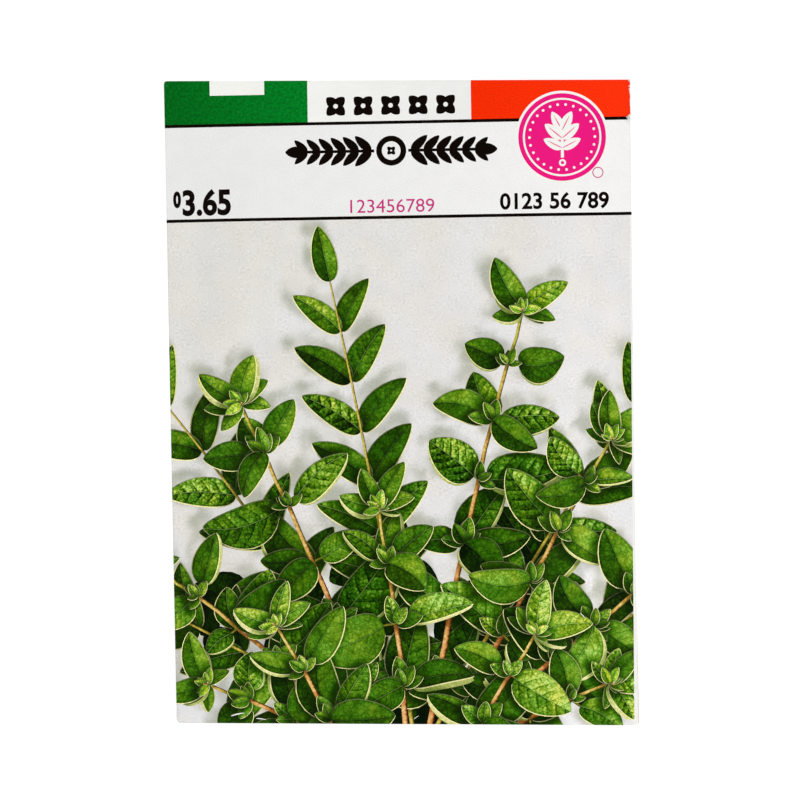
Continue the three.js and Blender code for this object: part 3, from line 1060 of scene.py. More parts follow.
# %% Which shape lies on top
def inside(places, loop):
    """Which places lie inside a closed outline."""
    crossings = np.zeros(len(places), int)
    for (x0, y0), (x1, y1) in zip(loop, loop[1:] + loop[:1]):
        if y0 != y1:
            spans = (places[:, 1] < y0) != (places[:, 1] < y1)
            crossings += spans & (places[:, 0] < x0 + (places[:, 1] - y0) * (x1 - x0) / (y1 - y0))
    return crossings % 2 == 1


def last_shape(places):
    """The number of the last shape that holds each place, or -1."""
    found = np.full(len(places), -1)
    by_height = np.argsort(places[:, 1])
    heights = places[by_height, 1]
    for number, shape in enumerate(shapes):
        rows = [p[1] for p in shape["outline"]]
        near = by_height[np.searchsorted(heights, min(rows)) : np.searchsorted(heights, max(rows))]
        found[near[inside(places[near], shape["outline"])]] = number
    return found


print("the sheet's middle shows", shapes[last_shape(np.zeros((1, 2)))[0]]["ink"])

# %% [markdown]
# ## Cut the sheet
#
# All outlines, fold lines and form points go into one triangulation. What falls outside the cut outline
# is dropped, and so are points that no triangle uses.

# %% Cut the sheet into inked triangles
MERGED = 1e-4  # mm: points nearer than this are one


def counted(places, corners):
    """Drops unused points, and turns every triangle counter-clockwise."""
    used, corners = np.unique(corners, return_inverse=True)
    places, corners = np.array([tuple(places[i]) for i in used]), corners.reshape(-1, 3)
    a, b, c = (places[corners[:, i]] for i in range(3))
    area = (b[:, 0] - a[:, 0]) * (c[:, 1] - a[:, 1]) - (b[:, 1] - a[:, 1]) * (c[:, 0] - a[:, 0])
    corners[area < 0] = corners[area < 0][:, ::-1]
    return places, corners


def fold_network(points, lines):
    """Adds the lines of the folds and the form points of the panels."""
    for row in fold_lines():
        lines += [(len(points) + i, len(points) + i + 1) for i in range(len(row) - 1)]
        points += on_sheet(row)
    points += on_sheet(form_points())


points, lines = [], []
for shape in shapes:
    loop = split_edges(shape["outline"])
    lines += [(len(points) + k, len(points) + (k + 1) % len(loop)) for k in range(len(loop))]
    points += loop
fold_network(points, lines)
for shape in shapes:
    if shape["ink"] == "leaf":
        points += ring_points(shape, SHADOW_RING)

cut = delaunay_2d_cdt([Vector(p) for p in points], lines, [], 0, MERGED, True)
corners = np.array(cut[2])
middles = np.array([tuple(v) for v in cut[0]])[corners].mean(1)
on_paper = inside(middles, outline)
top_shape = last_shape(middles)[on_paper]
flat_points, triangles = counted(cut[0], corners[on_paper])
print(len(flat_points), "points,", len(triangles), "triangles")

# %% [markdown]
# ## The plain inner face
#
# The inner face has no print, so it is cut again with the folds alone. It starts from the very points
# that the printed face has on the cut edge, so the two faces can be joined there.

# %% Cut the plain inner face
def rim_edges(corners):
    """Edges that only one triangle has, in that triangle's direction."""
    there = {edge for p, q, r in corners.tolist() for edge in ((p, q), (q, r), (r, p))}
    return [edge for edge in there if (edge[1], edge[0]) not in there]


rim = rim_edges(triangles)
rim_order = sorted({p for edge in rim for p in edge})
place_of = {p: i for i, p in enumerate(rim_order)}
points = [tuple(flat_points[p]) for p in rim_order]
lines = [(place_of[p], place_of[q]) for p, q in rim]
fold_network(points, lines)
plain_cut = delaunay_2d_cdt([Vector(p) for p in points], lines, [], 1, MERGED, True)
plain_points, plain_triangles = counted(plain_cut[0], np.array(plain_cut[2]))
micron = 3  # decimals of a mm
rounded = {tuple(place.round(micron)): i for i, place in enumerate(plain_points)}
plain_rim = {p: rounded[tuple(flat_points[p].round(micron))] for p in rim_order}
print(len(plain_points), "points,", len(plain_triangles), "triangles,", len(rim), "rim edges")

# %% [markdown]
# ## Where each ink is shaded from
#
# The ink of a leaf is shaded by three numbers at each corner: how far it is along the leaf, how far
# across, and how deep it lies in the shadow of the leaves above it. The shadow of a leaf is taken as that
# of an ellipse, moved away from the light and faded over a millimetre or so. On the ground it lies
# further off, because the leaves stand above it.

# %% Shadows of the leaves
LEAF_SHADOW = {"offset": (-0.4, -0.28), "fade": 1.1}  # mm
GROUND_SHADOW = {"offset": (-1.3, 1.1), "fade": 1.5}
BLADE_MIDDLE = 0.46  # of a leaf's length, where the ellipse has its centre
BOW_SHARE = 0.7  # of the midrib's bow, by which the ellipse moves sideways
INNER_FADE = 0.15  # of the fade, inside the ellipse


def shadow_at(places, level, offset, fade):
    """Shadow from 0 to 1 at places, cast by every leaf printed after each place's own level."""
    shade = np.zeros(len(places))
    by_height = np.argsort(places[:, 1])
    heights = places[by_height, 1]
    for order, shape in enumerate(shapes):
        if shape["ink"] != "leaf":
            continue
        along = np.array(shape["along"])
        length = shape["scale"][0]
        left, right, bend = shape["form"]
        half_length, half_across = length * 0.5, length * (left + right) / 2
        centre = np.array(shape["origin"]) + along * length * BLADE_MIDDLE + offset
        reach = half_length + fade
        rows = np.searchsorted(heights, (centre[1] - reach, centre[1] + reach))
        near = by_height[slice(*rows)]
        near = near[(level[near] < order) & (abs(places[near, 0] - centre[0]) < reach)]
        gap = places[near] - centre
        u = gap @ along / half_length
        v = (gap @ np.array([-along[1], along[0]]) - bend * length * BOW_SHARE) / half_across
        outside = (np.sqrt(u * u + v * v) - 1) * half_across
        shade[near] = np.maximum(shade[near], 1 - smoothstep(outside, -INNER_FADE * fade, fade))
    return shade


print("leaf shadows fade over", LEAF_SHADOW["fade"], "mm")

# %% [markdown]
# ## Numbers for the inks
#
# The same print point can mean two things: a corner of a leaf's triangle and a corner of the ground's. So
# the numbers are kept for each corner of each triangle, in the frame of the shape that shows there.

# %% Numbers for the inks
def shading_numbers():
    """Along, across and shadow at each corner of each outer triangle, in the top shape's own frame."""
    places = flat_points[triangles].reshape(-1, 2)
    level = np.repeat(top_shape, 3)
    ink = np.array([shape["ink"] for shape in shapes])[level]
    own_frame = (np.array([shape[key] for shape in shapes])[level] for key in ("origin", "along", "scale"))
    origin, along, scale = own_frame
    gap = places - origin
    u = (gap * along).sum(1) / scale[:, 0]
    v = (gap[:, 1] * along[:, 0] - gap[:, 0] * along[:, 1]) / scale[:, 1]
    shade = np.zeros(len(places))
    for names, cast, own_blade in (
        (("ground",), GROUND_SHADOW, 0),
        (("leaf", "stem"), LEAF_SHADOW, 0),
        (("underside",), LEAF_SHADOW, 1),
    ):
        there = np.isin(ink, names)
        shade[there] = shadow_at(places[there], level[there] + own_blade, **cast)
    return np.stack([u, v, shade], axis=1)


numbers = shading_numbers()
print("shadow at the corners: mean", round(numbers[:, 2].mean(), 2))

# %% [markdown]
# ## Worn folds, and painted shade on their crests
#
# A packet rubs against its neighbours in the rack, and loses ink first on the crests of its folds and in
# a few scuffs near the corners. Each point of the sheet gets one number for that, and the paper's
# material turns it into bare fibres with a ragged edge. The same number darkens the crests with painted
# shade, where the paper turns away from the light.

# %% Worn folds and painted crest shade
WEAR_FALL = 0.45  # mm from the crest
TOP_SPARED = 0.15  # mm: the top fold has lost less ink than the others, and gets less painted shade
SCUFF_EDGE = (0.5, 1.2)  # where a scuff begins to fade and ends, in shares of its radius
SCUFFS = (  # x and y of the middle on the sheet, radius in mm, and how bare
    (RIGHT + 1.4, 55.0, 2.0, 1.2),
    (RIGHT + 1.35, 52.6, 2.0, 1.25),
    (RIGHT + 0.9, 49.6, 1.75, 1.3),
    (RIGHT + 0.2, -51.0, 1.2, 0.9),
    (LEFT - 0.2, -54.5, 1.0, 0.9),
    (LEFT - 0.2, -8.0, 0.8, 0.95),
)


def fold_closeness(points):
    """1 on the crest of a fold and in a scuff, falling to 0 away from it, for points of the flat sheet."""
    s = points[:, 0]
    t = points[:, 1] + FOLD_SKEW * s
    quarter = math.pi / 2
    gaps = [
        abs(s - (LEFT - quarter * LEFT_RADIUS)),
        abs(s - (RIGHT + quarter * RIGHT_RADIUS)),
        abs(t - (BOTTOM - quarter * END_RADIUS)),
        abs(t - (TOP + quarter * END_RADIUS)) + TOP_SPARED,
    ]
    wear = np.exp(-np.min(gaps, axis=0) / WEAR_FALL)
    for x, y, radius, bare in SCUFFS:
        gap = np.hypot(points[:, 0] - x, points[:, 1] - y)
        worn_away = 1 - smoothstep(gap, SCUFF_EDGE[0] * radius, SCUFF_EDGE[1] * radius)
        wear = np.maximum(wear, bare * worn_away)
    return wear


print("scuffs:", len(SCUFFS))

# %% [markdown]
# ## The sheet gets its thickness
#
# The flat triangles are folded twice, once for each face of the paper, and the two faces are joined along
# the cut edge. That makes one closed body, as thick as the paper, which is what the real packet is. A
# Solidify modifier would do it too, but would carry the print's many triangles to the inner face, where
# no ink is.

# %% The folded paper
def face_of_paper(points, side):
    """Places and normals of the outer face, with side 1, or the inner face, with side -1."""
    middles, normals = folded(points)
    on_front = (middles[:, 2] > FRONT_LEVEL - TINY)[:, None]
    lift = np.where(on_front, [[0, 0, 1]], normals) * PAPER / 2
    return middles + side * lift, side * normals


outer_places, outer_normals = face_of_paper(flat_points, 1)
inner_places, inner_normals = face_of_paper(plain_points, -1)
count = len(flat_points)
faces = [tuple(t) for t in triangles.tolist()]
faces += [tuple(p + count for p in reversed(t)) for t in plain_triangles.tolist()]
faces += [(q, p, plain_rim[p] + count, plain_rim[q] + count) for p, q in rim]

mesh = bpy.data.meshes.new("packet_paper")
mesh.from_pydata(np.concatenate([outer_places, inner_places]) * MM, [], faces)
paper = bpy.data.objects.new("packet_paper", mesh)
bpy.context.scene.collection.objects.link(paper)
print("paper:", len(mesh.vertices), "vertices,", sum(len(f) - 2 for f in faces), "triangles")

# %% [markdown]
# ## What the mesh carries
#
# A mesh can carry numbers of its own at its points, corners and faces, and a material can read them as
# attributes. The ink of each face goes into its material slot. The rest says where a point lies on its
# leaf and on the flat sheet, and how near a fold crest or scuff it is, for wear and painted shade. The
# normals come from the folding formula and not from the triangles, whose long slivers would otherwise glint.

# %% Shading numbers and inks on the mesh
PICTURE_INKS = ["ground", "leaf", "underside", "stem"]
INKS = ["bare", *PICTURE_INKS, "header", "white", "green", "red", "black", "magenta", "pink", "reverse"]


def store(name, kind, domain, values):
    """Writes an attribute from an array with one row for each element; elements past its end get 0."""
    attribute = mesh.attributes.new(name, kind, domain)
    key, width = ("value", 1) if kind == "FLOAT" else ("vector", 3)
    whole = np.zeros((len(attribute.data), width), np.float32)
    values = np.reshape(values, (len(values), -1))
    whole[: len(values), : values.shape[1]] = values
    attribute.data.foreach_set(key, whole.ravel())


store("ink_place", "FLOAT_VECTOR", "CORNER", numbers)
for name in ("form", "tone", "pose"):
    by_shape = np.array([shape[name] for shape in shapes])
    store("ink_" + name, "FLOAT_VECTOR", "FACE", by_shape[top_shape])
every_place = np.concatenate([flat_points, plain_points])
store("sheet", "FLOAT_VECTOR", "POINT", every_place)
store("fold_wear_and_shade", "FLOAT", "POINT", fold_closeness(every_place))

ink_index = np.array([INKS.index(shape["ink"]) for shape in shapes])[top_shape]
without_ink = [len(INKS) - 1] * (len(mesh.polygons) - len(triangles))
mesh.polygons.foreach_set("material_index", [*ink_index, *without_ink])
mesh.polygons.foreach_set("use_smooth", [True] * (len(faces) - len(rim)) + [False] * len(rim))
corner_normals = [
    outer_normals[triangles].reshape(-1, 3),
    inner_normals[plain_triangles[:, ::-1]].reshape(-1, 3),
    np.zeros((4 * len(rim), 3)),
]
mesh.normals_split_custom_set(np.concatenate(corner_normals).tolist())
print("inks used:", {INKS[i]: int((ink_index == i).sum()) for i in range(len(INKS))})

# %% [markdown]
# ## One helper for nodes
#
# A procedural material is a tree of nodes. One small function adds a node, sets what it is given and
# links what comes from another node, so that each material below reads as a list of what it does. It is
# bound to the material's tree once, under the short name node.

# %% One helper for nodes
COLOUR = {"data_type": "RGBA", "out": 2}  # a Mix node for colours; its two colours are inputs 6 and 7
SMOOTH = {"interpolation_type": "SMOOTHSTEP"}


def add(tree, kind, *inputs, sockets=None, out=0, stops=(), **settings):
    """Adds a shader node and returns its output out, or several of them if out is a slice.

    inputs fill its sockets in order, and sockets fills them by name or number.
    """
    made = tree.nodes.new("ShaderNode" + kind)
    for name, value in settings.items():
        setattr(made, name, value)
    for key, value in [*enumerate(inputs), *(sockets or {}).items()]:
        if isinstance(value, bpy.types.NodeSocket):
            tree.links.new(value, made.inputs[key])
        elif value is not None:
            made.inputs[key].default_value = value
    for i, (position, colour) in enumerate(stops):
        if i >= 2:
            made.color_ramp.elements.new(position)
        made.color_ramp.elements[i].position = position
        made.color_ramp.elements[i].color = linear(colour)
    return made.outputs[out] if made.outputs else None


def empty_material(name):
    """A material without nodes, and the helper bound to its tree."""
    material = bpy.data.materials.new(name)
    material.use_nodes = True
    material.node_tree.nodes.clear()
    return material, partial(add, material.node_tree)


print("helper ready")

# %% [markdown]
# ## Unevenness
#
# Nothing printed is quite even: pulp is cloudy, ink is grainy, and a wash drifts. Each such pattern is a
# noise over the flat sheet whose pitch is a real size in millimetres, spread between a low and a high.
# They are listed in a table for each finish, and one loop makes them.

# %% Unevenness
NOISE_SPAN = (0.3, 0.7)  # most of a noise's values lie between these


def uneven(node, place, patterns):
    """Sockets of the patterns, by name. Each is its size in mm, its detail, low and high, and its span."""
    made = {}
    for name, (size, detail, low, high, *span) in patterns.items():
        noise = node("TexNoise", place, sockets={"Scale": 1 / size, "Detail": detail})
        made[name] = node("MapRange", noise, *(span or NOISE_SPAN), low, high)
    return SimpleNamespace(**made)


print("a noise is spread from", NOISE_SPAN)

# %% [markdown]
# ## Coated paper
#
# Packet paper is wood pulp with a thin layer of clay on the printed side. Ink lies on the clay, so the
# surface has a soft sheen, fine unevenness from the fibres beneath, and loses its ink first along the
# folds. The fold crests are also darkened with painted shade. Every ink below shares this base and only
# brings its own colour.

# %% Coated paper
CLAY_IOR = 1.5
FIBRE = 0.22  # mm: real fibres are finer, and are drawn this coarse to show
GRAIN = 0.24  # mm, the unevenness of the ink
MOTTLE = 0.48  # mm, the coarser unevenness of a full spot ink
GRAIN_SPREAD = 1.5  # of the grain's depth, at a noise's ends
GLOSS = 0.04  # the coat's mirror share, which is low because it is matt
SHEEN_SPREAD = (-0.05, 0.06)  # of the roughness, from fibre to fibre
FIBRE_RELIEF = {"Strength": 0.35, "Distance": 0.012 * MM}
BARE_PAPER = "#ebebe6"
PAPER_PATTERNS = {
    "scuffed": (0.3, 3.0, -0.375, 0.375, 0.0, 1.0),  # single fibres that have lost their ink
    "rubbed": (6.0, 2.0, -0.375, 0.375, 0.0, 1.0),  # stretches of a fold that rubbed more
    "cloud": (3.2, 3.0, 0.98, 1.015),  # the look-through of the pulp
}
BARED = (0.86, 1.04)  # wear at which ink begins to go and is gone
MOST_BARE = 0.8
CREST_SHADE = (0.45, 1.0, 1.0, 0.86)  # wear from and to, tone from and to: painted shade darkens the fold crests, and the scuffs with them


def coated_paper(name, ink, sheen=0.42, ink_loss=1.0, grain_depth=0.02, grain=GRAIN):
    """A material of coated paper. ink(node, sheet) gives the socket of its ink, or ink is a hex colour."""
    material, node = empty_material(name)
    sheet = node("Attribute", attribute_name="sheet", out="Vector")
    wear_and_shade = node("Attribute", attribute_name="fold_wear_and_shade", out="Fac")
    depth = GRAIN_SPREAD * grain_depth
    pattern = uneven(node, sheet, {**PAPER_PATTERNS, "grains": (grain, 2.0, 1 - depth, 1 + depth)})
    bared = wear_and_shade
    for part in (pattern.scuffed, pattern.rubbed):
        bared = node("Math", bared, part, operation="ADD")
    bared = node("MapRange", bared, *BARED, 0.0, MOST_BARE * ink_loss, **SMOOTH)
    colour = ink(node, sheet) if callable(ink) else linear(ink)
    printed = node("Mix", bared, sockets={6: colour, 7: linear(BARE_PAPER)}, **COLOUR)
    # painted shade: the tone falls where the number is high, on the fold crests and in the scuffs
    tone = node("MapRange", wear_and_shade, *CREST_SHADE)
    for part in (pattern.cloud, pattern.grains):
        tone = node("Math", tone, part, operation="MULTIPLY")
    printed = node("VectorMath", printed, sockets={"Scale": tone}, operation="SCALE")
    fibres = node("TexNoise", sheet, sockets={"Scale": 1 / FIBRE, "Detail": 4.0})
    roughness = node("MapRange", fibres, *NOISE_SPAN, *(sheen + spread for spread in SHEEN_SPREAD))
    bump = node("Bump", sockets={**FIBRE_RELIEF, "Height": fibres})
    sockets = {"Base Color": printed, "Roughness": roughness, "IOR": CLAY_IOR, "Normal": bump}
    shader = node("BsdfPrincipled", sockets={**sockets, "Specular IOR Level": GLOSS})
    node("OutputMaterial", shader)
    return material


print("coated paper: fibres", FIBRE, "mm, ink grain", GRAIN, "mm")

# %% [markdown]
# ## Plain inks
#
# The bands, rules, figures and badge are solid spot inks. Their colour drifts a little across the sheet,
# as ink does across a press, so the green and the red run between two close tones. Where such an ink is
# thin, tiny specks of the paper show. The reverse of the sheet has no clay and no ink, so it is duller.

# %% Plain inks
SPECK_PITCH = 1.5  # mm
SPECK_SIZE = 0.07  # mm, the largest
SPECK_EDGE = 0.02  # in shares of the pitch
SPECK_SHOWS = 0.6


def drifting(low_colour, high_colour, start, end, specks=None):
    """An ink that drifts from one colour to another between two places across the sheet, in mm.

    specks is the colour of tiny specks where the ink is thin.
    """

    def ink(node, sheet):
        across = node("SeparateXYZ", sheet)
        share = node("MapRange", across, start, end)
        colour = node("Mix", share, sockets={6: linear(low_colour), 7: linear(high_colour)}, **COLOUR)
        if specks is None:
            return colour
        from_speck, chance = node("TexVoronoi", sheet, sockets={"Scale": 1 / SPECK_PITCH}, out=slice(2))
        size = node("Math", chance, SPECK_SIZE / SPECK_PITCH, operation="MULTIPLY")
        reach = node("Math", from_speck, size, operation="SUBTRACT")
        shows = node("MapRange", reach, 0.0, SPECK_EDGE, SPECK_SHOWS, 0.0)
        return node("Mix", shows, sockets={6: colour, 7: linear(specks)}, **COLOUR)

    return ink


# the header tint turns lighter to the right: partly the print's own drift, partly painted light where the
# light falls stronger at the right
tint = drifting("#e2e2e0", "#ebeae8", -30, RIGHT)
white = drifting("#eaeae6", "#e4e4e1", GREEN_END, RED_START)
green = drifting("#015f16", "#017621", LEFT, GREEN_END, specks="#4cb868")
red = drifting("#ec2a01", "#f83009", RED_START, RIGHT, specks="#f86a48")
materials = {
    "bare": coated_paper("coated_paper_bare", BARE_PAPER, grain_depth=0.03),
    "header": coated_paper("coated_paper_header_tint", tint, grain_depth=0.035),
    "white": coated_paper("coated_paper_band_white", white),
    "green": coated_paper("offset_ink_green", green, grain_depth=0.2, grain=MOTTLE),
    "red": coated_paper("offset_ink_red", red, grain_depth=0.1),
    "black": coated_paper("offset_ink_black", "#0c0502", sheen=0.45),
    "magenta": coated_paper("offset_ink_magenta", "#e4187a"),
    "pink": coated_paper("offset_ink_pink", "#c02c78"),
    "reverse": coated_paper("uncoated_paper_reverse", "#ebe7de", sheen=0.75, ink_loss=0.0),
}
print("plain inks:", ", ".join(sorted(materials)))

# %% [markdown]
# ## What the picture's inks start from
#
# Four-colour printing gives the picture soft tones, and each of its inks is a formula over the numbers
# that the mesh carries. One function reads them by name.

# %% What the picture's inks start from
CARRIED = {
    "ink_place": ("along", "across", "shade"),
    "ink_form": ("left", "right", "bend"),
    "ink_tone": ("age", "light", "chance"),
    "ink_pose": ("length", "half_light", "rim_side"),
}


def carried(node, *attributes):
    """The sockets of the numbers in the named attributes of the mesh."""
    found = {}
    for name in attributes:
        vector = node("Attribute", attribute_name=name, out="Vector")
        found |= zip(CARRIED[name], node("SeparateXYZ", vector, out=slice(3)))
    return SimpleNamespace(**found)


print("the mesh carries", sum(map(len, CARRIED.values())), "numbers for the inks")

# %% [markdown]
# ## The ground's ink
#
# The picture's ground is pale. It drifts from warm grey at the top left to near white at the bottom
# right, partly as printed and partly as painted light that falls stronger there. It has the grain of its
# printing screen and a few stray dots, and takes the grey-green shadows of the leaves.

# %% The ground's ink
# the diagonal drift is partly the print's own and partly painted light, lighter to the right and bottom
GROUND_TONES = ((0.0, "#dad8d2"), (0.5, "#dfdddb"), (1.0, "#ebe9e9"))
WARM_WHITE = (1.012, 1.0, 0.972, 1.0)  # what the ground's colour is multiplied by
COOL_WHITE = (0.99, 1.0, 1.02, 1.0)
SHADOW_TINT = "#b2b8a4"
SHADOW_DEPTH = 0.75
DOTS = {"pitch": 1.9, "edge": (0.05, 0.09), "tone": 0.88}  # mm, shares of the pitch, and tone
GROUND_PATTERNS = {
    "grain": (0.42, 2.0, -0.12, 0.1),  # the screen's dots are finer, and are drawn this coarse to show
    "screened": (2.4, 2.0, 0.25, 1.0, 0.38, 0.62),  # how strongly the grain shows
    "wash": (9.0, 2.0, 0.96, 1.02),
    "hue": (8.0, 2.0, 0.0, 1.0, 0.36, 0.64),
    "shaded": (5.0, 1.0, 0.25, 1.0, 0.35, 0.65),  # how deep a shadow is
}


def ground_ink(node, sheet):
    at = carried(node, "ink_place")
    pattern = uneven(node, sheet, GROUND_PATTERNS)
    x, y = node("SeparateXYZ", sheet, out=slice(2))
    across = node("MapRange", x, LEFT, RIGHT, 0.0, 0.5)
    down = node("MapRange", y, PICTURE_TOP, BOTTOM, 0.0, 0.5)
    diagonal = node("Math", across, down, operation="ADD")
    colour = node("ValToRGB", diagonal, stops=GROUND_TONES)
    dots = node("TexVoronoi", sheet, sockets={"Scale": 1 / DOTS["pitch"]}, feature="F1")
    dots = node("MapRange", dots, *DOTS["edge"], DOTS["tone"], 1.0)
    tone = node("Math", pattern.grain, pattern.screened, 1.0, operation="MULTIPLY_ADD")
    for part in (pattern.wash, dots):
        tone = node("Math", tone, part, operation="MULTIPLY")
    colour = node("VectorMath", colour, sockets={"Scale": tone}, operation="SCALE")
    hue = node("Mix", pattern.hue, sockets={6: WARM_WHITE, 7: COOL_WHITE}, **COLOUR)
    colour = node("VectorMath", colour, hue, operation="MULTIPLY")
    depth = node("Math", at.shade, pattern.shaded, operation="MULTIPLY")
    depth = node("MapRange", depth, 0.0, 1.0, 0.0, SHADOW_DEPTH, **SMOOTH)
    cast = node("VectorMath", colour, linear(SHADOW_TINT)[:3], operation="MULTIPLY")
    return node("Mix", depth, sockets={6: colour, 7: cast}, **COLOUR)


materials["ground"] = coated_paper("offset_picture_ground", ground_ink)
print("ground grain", GROUND_PATTERNS["grain"][0], "mm")

# %% [markdown]
# ## Where a point lies on its leaf
#
# A leaf's ink follows its shape: creases lie beside the midrib, and rims along the edge. The outline came
# from a formula, so the same formula, written in nodes, tells how far any point is from the midrib and
# from the edge. No map has to be painted or unwrapped.

# %% Where a point lies on its leaf
THINNEST = 0.001  # a half width that is safe to divide by


def on_leaf(node):
    """The numbers that the leaf's ink is worked out from, with the gaps to its midrib and edge in mm."""
    at = carried(node, *CARRIED)
    to_tip = node("Math", 1.0, at.along, operation="SUBTRACT")
    bow = at.along
    for factor in (to_tip, 4.0, at.bend):
        bow = node("Math", bow, factor, operation="MULTIPLY")
    off_rib = node("Math", at.across, bow, operation="SUBTRACT")
    on_left = node("Math", off_rib, 0.0, operation="GREATER_THAN")
    at.side = node("Math", on_left, 2.0, -1.0, operation="MULTIPLY_ADD")
    at.off_rib = node("Math", off_rib, operation="ABSOLUTE")
    half = node("Mix", on_left, sockets={2: at.right, 3: at.left})
    width = node("Math", at.along, LEAF_RISE, operation="POWER")
    fall = node("Math", to_tip, LEAF_FALL, operation="POWER")
    for factor in (fall, half, LEAF_NORM):
        width = node("Math", width, factor, operation="MULTIPLY")
    safe_width = node("Math", width, THINNEST, operation="MAXIMUM")
    at.outward = node("Math", at.off_rib, safe_width, operation="DIVIDE")
    edge_gap = node("Math", width, at.off_rib, operation="SUBTRACT")
    at.edge_gap = node("Math", edge_gap, at.length, operation="MULTIPLY")
    at.rib_gap = node("Math", at.off_rib, at.length, operation="MULTIPLY")
    return at


print("a leaf's rise and fall is scaled by", round(LEAF_NORM, 2))

# %% [markdown]
# ## Side veins
#
# Side veins leave the midrib in step and slant to the tip, and the blade between them is quilted: it
# rises from one vein and drops to the next. One phase counts the veins, and both the veins and the
# quilting are read from it. Some leaves are drawn boldly and most faintly, as in life.

# %% Side veins
VEINS = 6  # in each half
VEIN_SLANT = {"straight": 0.5, "curved": 1.3}
HALVES_APART = 0.22  # of the space between two veins
VEIN_WIDTH = 0.14
VEIN_TONE = -0.26
QUILT_TONE = 0.34
RELIEF_FADE = (0.5, 0.95, 1.0, 0.15)  # outward from and to, relief from and to
BOLDNESS = {"power": 4.0, "most": 1.35, "least": 0.2}


def vein_relief(node, at):
    """How much lighter or darker veins and quilting make the blade, and how boldly this leaf is drawn."""
    curve = node("Math", at.off_rib, VEIN_SLANT["curved"], VEIN_SLANT["straight"], operation="MULTIPLY_ADD")
    slant = node("Math", curve, at.off_rib, operation="MULTIPLY")
    phase = node("Math", at.along, slant, operation="SUBTRACT")
    phase = node("Math", phase, VEINS, at.chance, operation="MULTIPLY_ADD")
    phase = node("Math", at.side, HALVES_APART, phase, operation="MULTIPLY_ADD")
    from_vein = node("Math", phase, 0.5, operation="PINGPONG")
    vein = node("MapRange", from_vein, 0.0, VEIN_WIDTH, VEIN_TONE, 0.0, **SMOOTH)
    quilt = node("Math", phase, operation="FRACT")
    relief = node("Math", quilt, QUILT_TONE, vein, operation="MULTIPLY_ADD")
    relief = node("Math", relief, QUILT_TONE / 2, operation="SUBTRACT")
    boldness = node("Math", at.chance, BOLDNESS["power"], operation="POWER")
    boldness = node("Math", boldness, BOLDNESS["most"], BOLDNESS["least"], operation="MULTIPLY_ADD")
    for factor in (node("MapRange", at.outward, *RELIEF_FADE), boldness):
        relief = node("Math", relief, factor, operation="MULTIPLY")
    return relief, boldness


print("side veins:", VEINS, "in each half")

# %% [markdown]
# ## The brightness of a leaf
#
# One brightness sums up what the eye knows of a leaf: how it is lit, how young it is, which half is
# turned to the light, its veins and the fine net between them, the crease at the midrib, and the shade of
# the leaves above. Each part has a weight, so the whole is one short list.

# %% The brightness of a leaf
NET_PITCH = 0.85  # mm, the mesh of the finest veins
NET = (0.02, 0.2, -0.13, 0.05)  # gap from and to, in shares of the pitch, and tone from and to
NET_WEIGHT = (0.5, 0.5)  # by boldness, and always
PUCKER_WEIGHT = (0.7, 0.2)
WEIGHTS = {"light": 0.58, "chance": 0.3, "age": 0.12, "lit": 0.17}
LEAF_PATTERNS = {
    "patches": (2.2, 2.0, -0.25, 0.25, 0.0, 1.0),
    "pucker": (0.45, 2.0, -0.5, 0.5, 0.0, 1.0),
    "hue": (4.0, 1.0, 0.0, 1.0, 0.36, 0.64),
}
CREASE = (0.05, 0.4, -0.16, 0.0)  # mm from and to, tone from and to
FOOT = (0.0, 0.4, -0.12, 0.02)  # along the leaf
BRIM = (1.0, 2.6, -0.15, 0.0)  # in rim widths
RIM_WIDTH = (3.0, 12.0, 0.12, 0.27)  # leaf length from and to, rim width from and to, all in mm
LEAF_SHADED = (0.0, 1.0, 1.0, 0.28)  # shadow from and to, tone from and to
SCATTER = 37.0  # mm: how far apart two leaves read their patterns


def leaf_brightness(node, sheet, at):
    """The brightness; at also learns the patterns' place and hue, the shade and the gap in rim widths."""
    relief, boldness = vein_relief(node, at)
    tone = node("Attribute", attribute_name="ink_tone", out="Vector")
    own_place = node("VectorMath", tone, (SCATTER,) * 3, sheet, operation="MULTIPLY_ADD")
    pattern = uneven(node, own_place, LEAF_PATTERNS)
    net = node("TexVoronoi", own_place, sockets={"Scale": 1 / NET_PITCH}, feature="DISTANCE_TO_EDGE")
    net = node("MapRange", net, *NET, **SMOOTH)
    netted, puckered = (
        node("Math", boldness, *weight, operation="MULTIPLY_ADD") for weight in (NET_WEIGHT, PUCKER_WEIGHT)
    )
    lit = node("Math", at.half_light, at.side, operation="MULTIPLY")
    rim_width = node("MapRange", at.length, *RIM_WIDTH)
    at.within_rim = node("Math", at.edge_gap, rim_width, operation="DIVIDE")
    at.hue = pattern.hue
    at.shaded = node("MapRange", at.shade, *LEAF_SHADED)

    bright = node("Math", at.light, WEIGHTS["light"], -WEIGHTS["chance"] / 2, operation="MULTIPLY_ADD")
    for part, weight in (
        (at.chance, WEIGHTS["chance"]),
        (at.age, WEIGHTS["age"]),
        (lit, WEIGHTS["lit"]),
        (pattern.pucker, puckered),
        (net, netted),
    ):
        bright = node("Math", part, weight, bright, operation="MULTIPLY_ADD")
    for part in (pattern.patches, relief):
        bright = node("Math", bright, part, operation="ADD")
    for gap, span in ((at.rib_gap, CREASE), (at.along, FOOT), (at.within_rim, BRIM)):
        dip = node("MapRange", gap, *span, **SMOOTH)
        bright = node("Math", bright, dip, operation="ADD")
    return node("Math", bright, at.shaded, operation="MULTIPLY")


print("finest veins:", NET_PITCH, "mm apart")

# %% [markdown]
# ## The leaves' ink
#
# Light greens are yellower and dark greens bluer, so the brightness runs through a ramp of greens, one
# for grown leaves and one for young ones, with a slow drift of hue over both. Three fine lines go on top:
# a pale midrib, a dark edge where the blade turns away, and a pale rim where it turns up to the light.

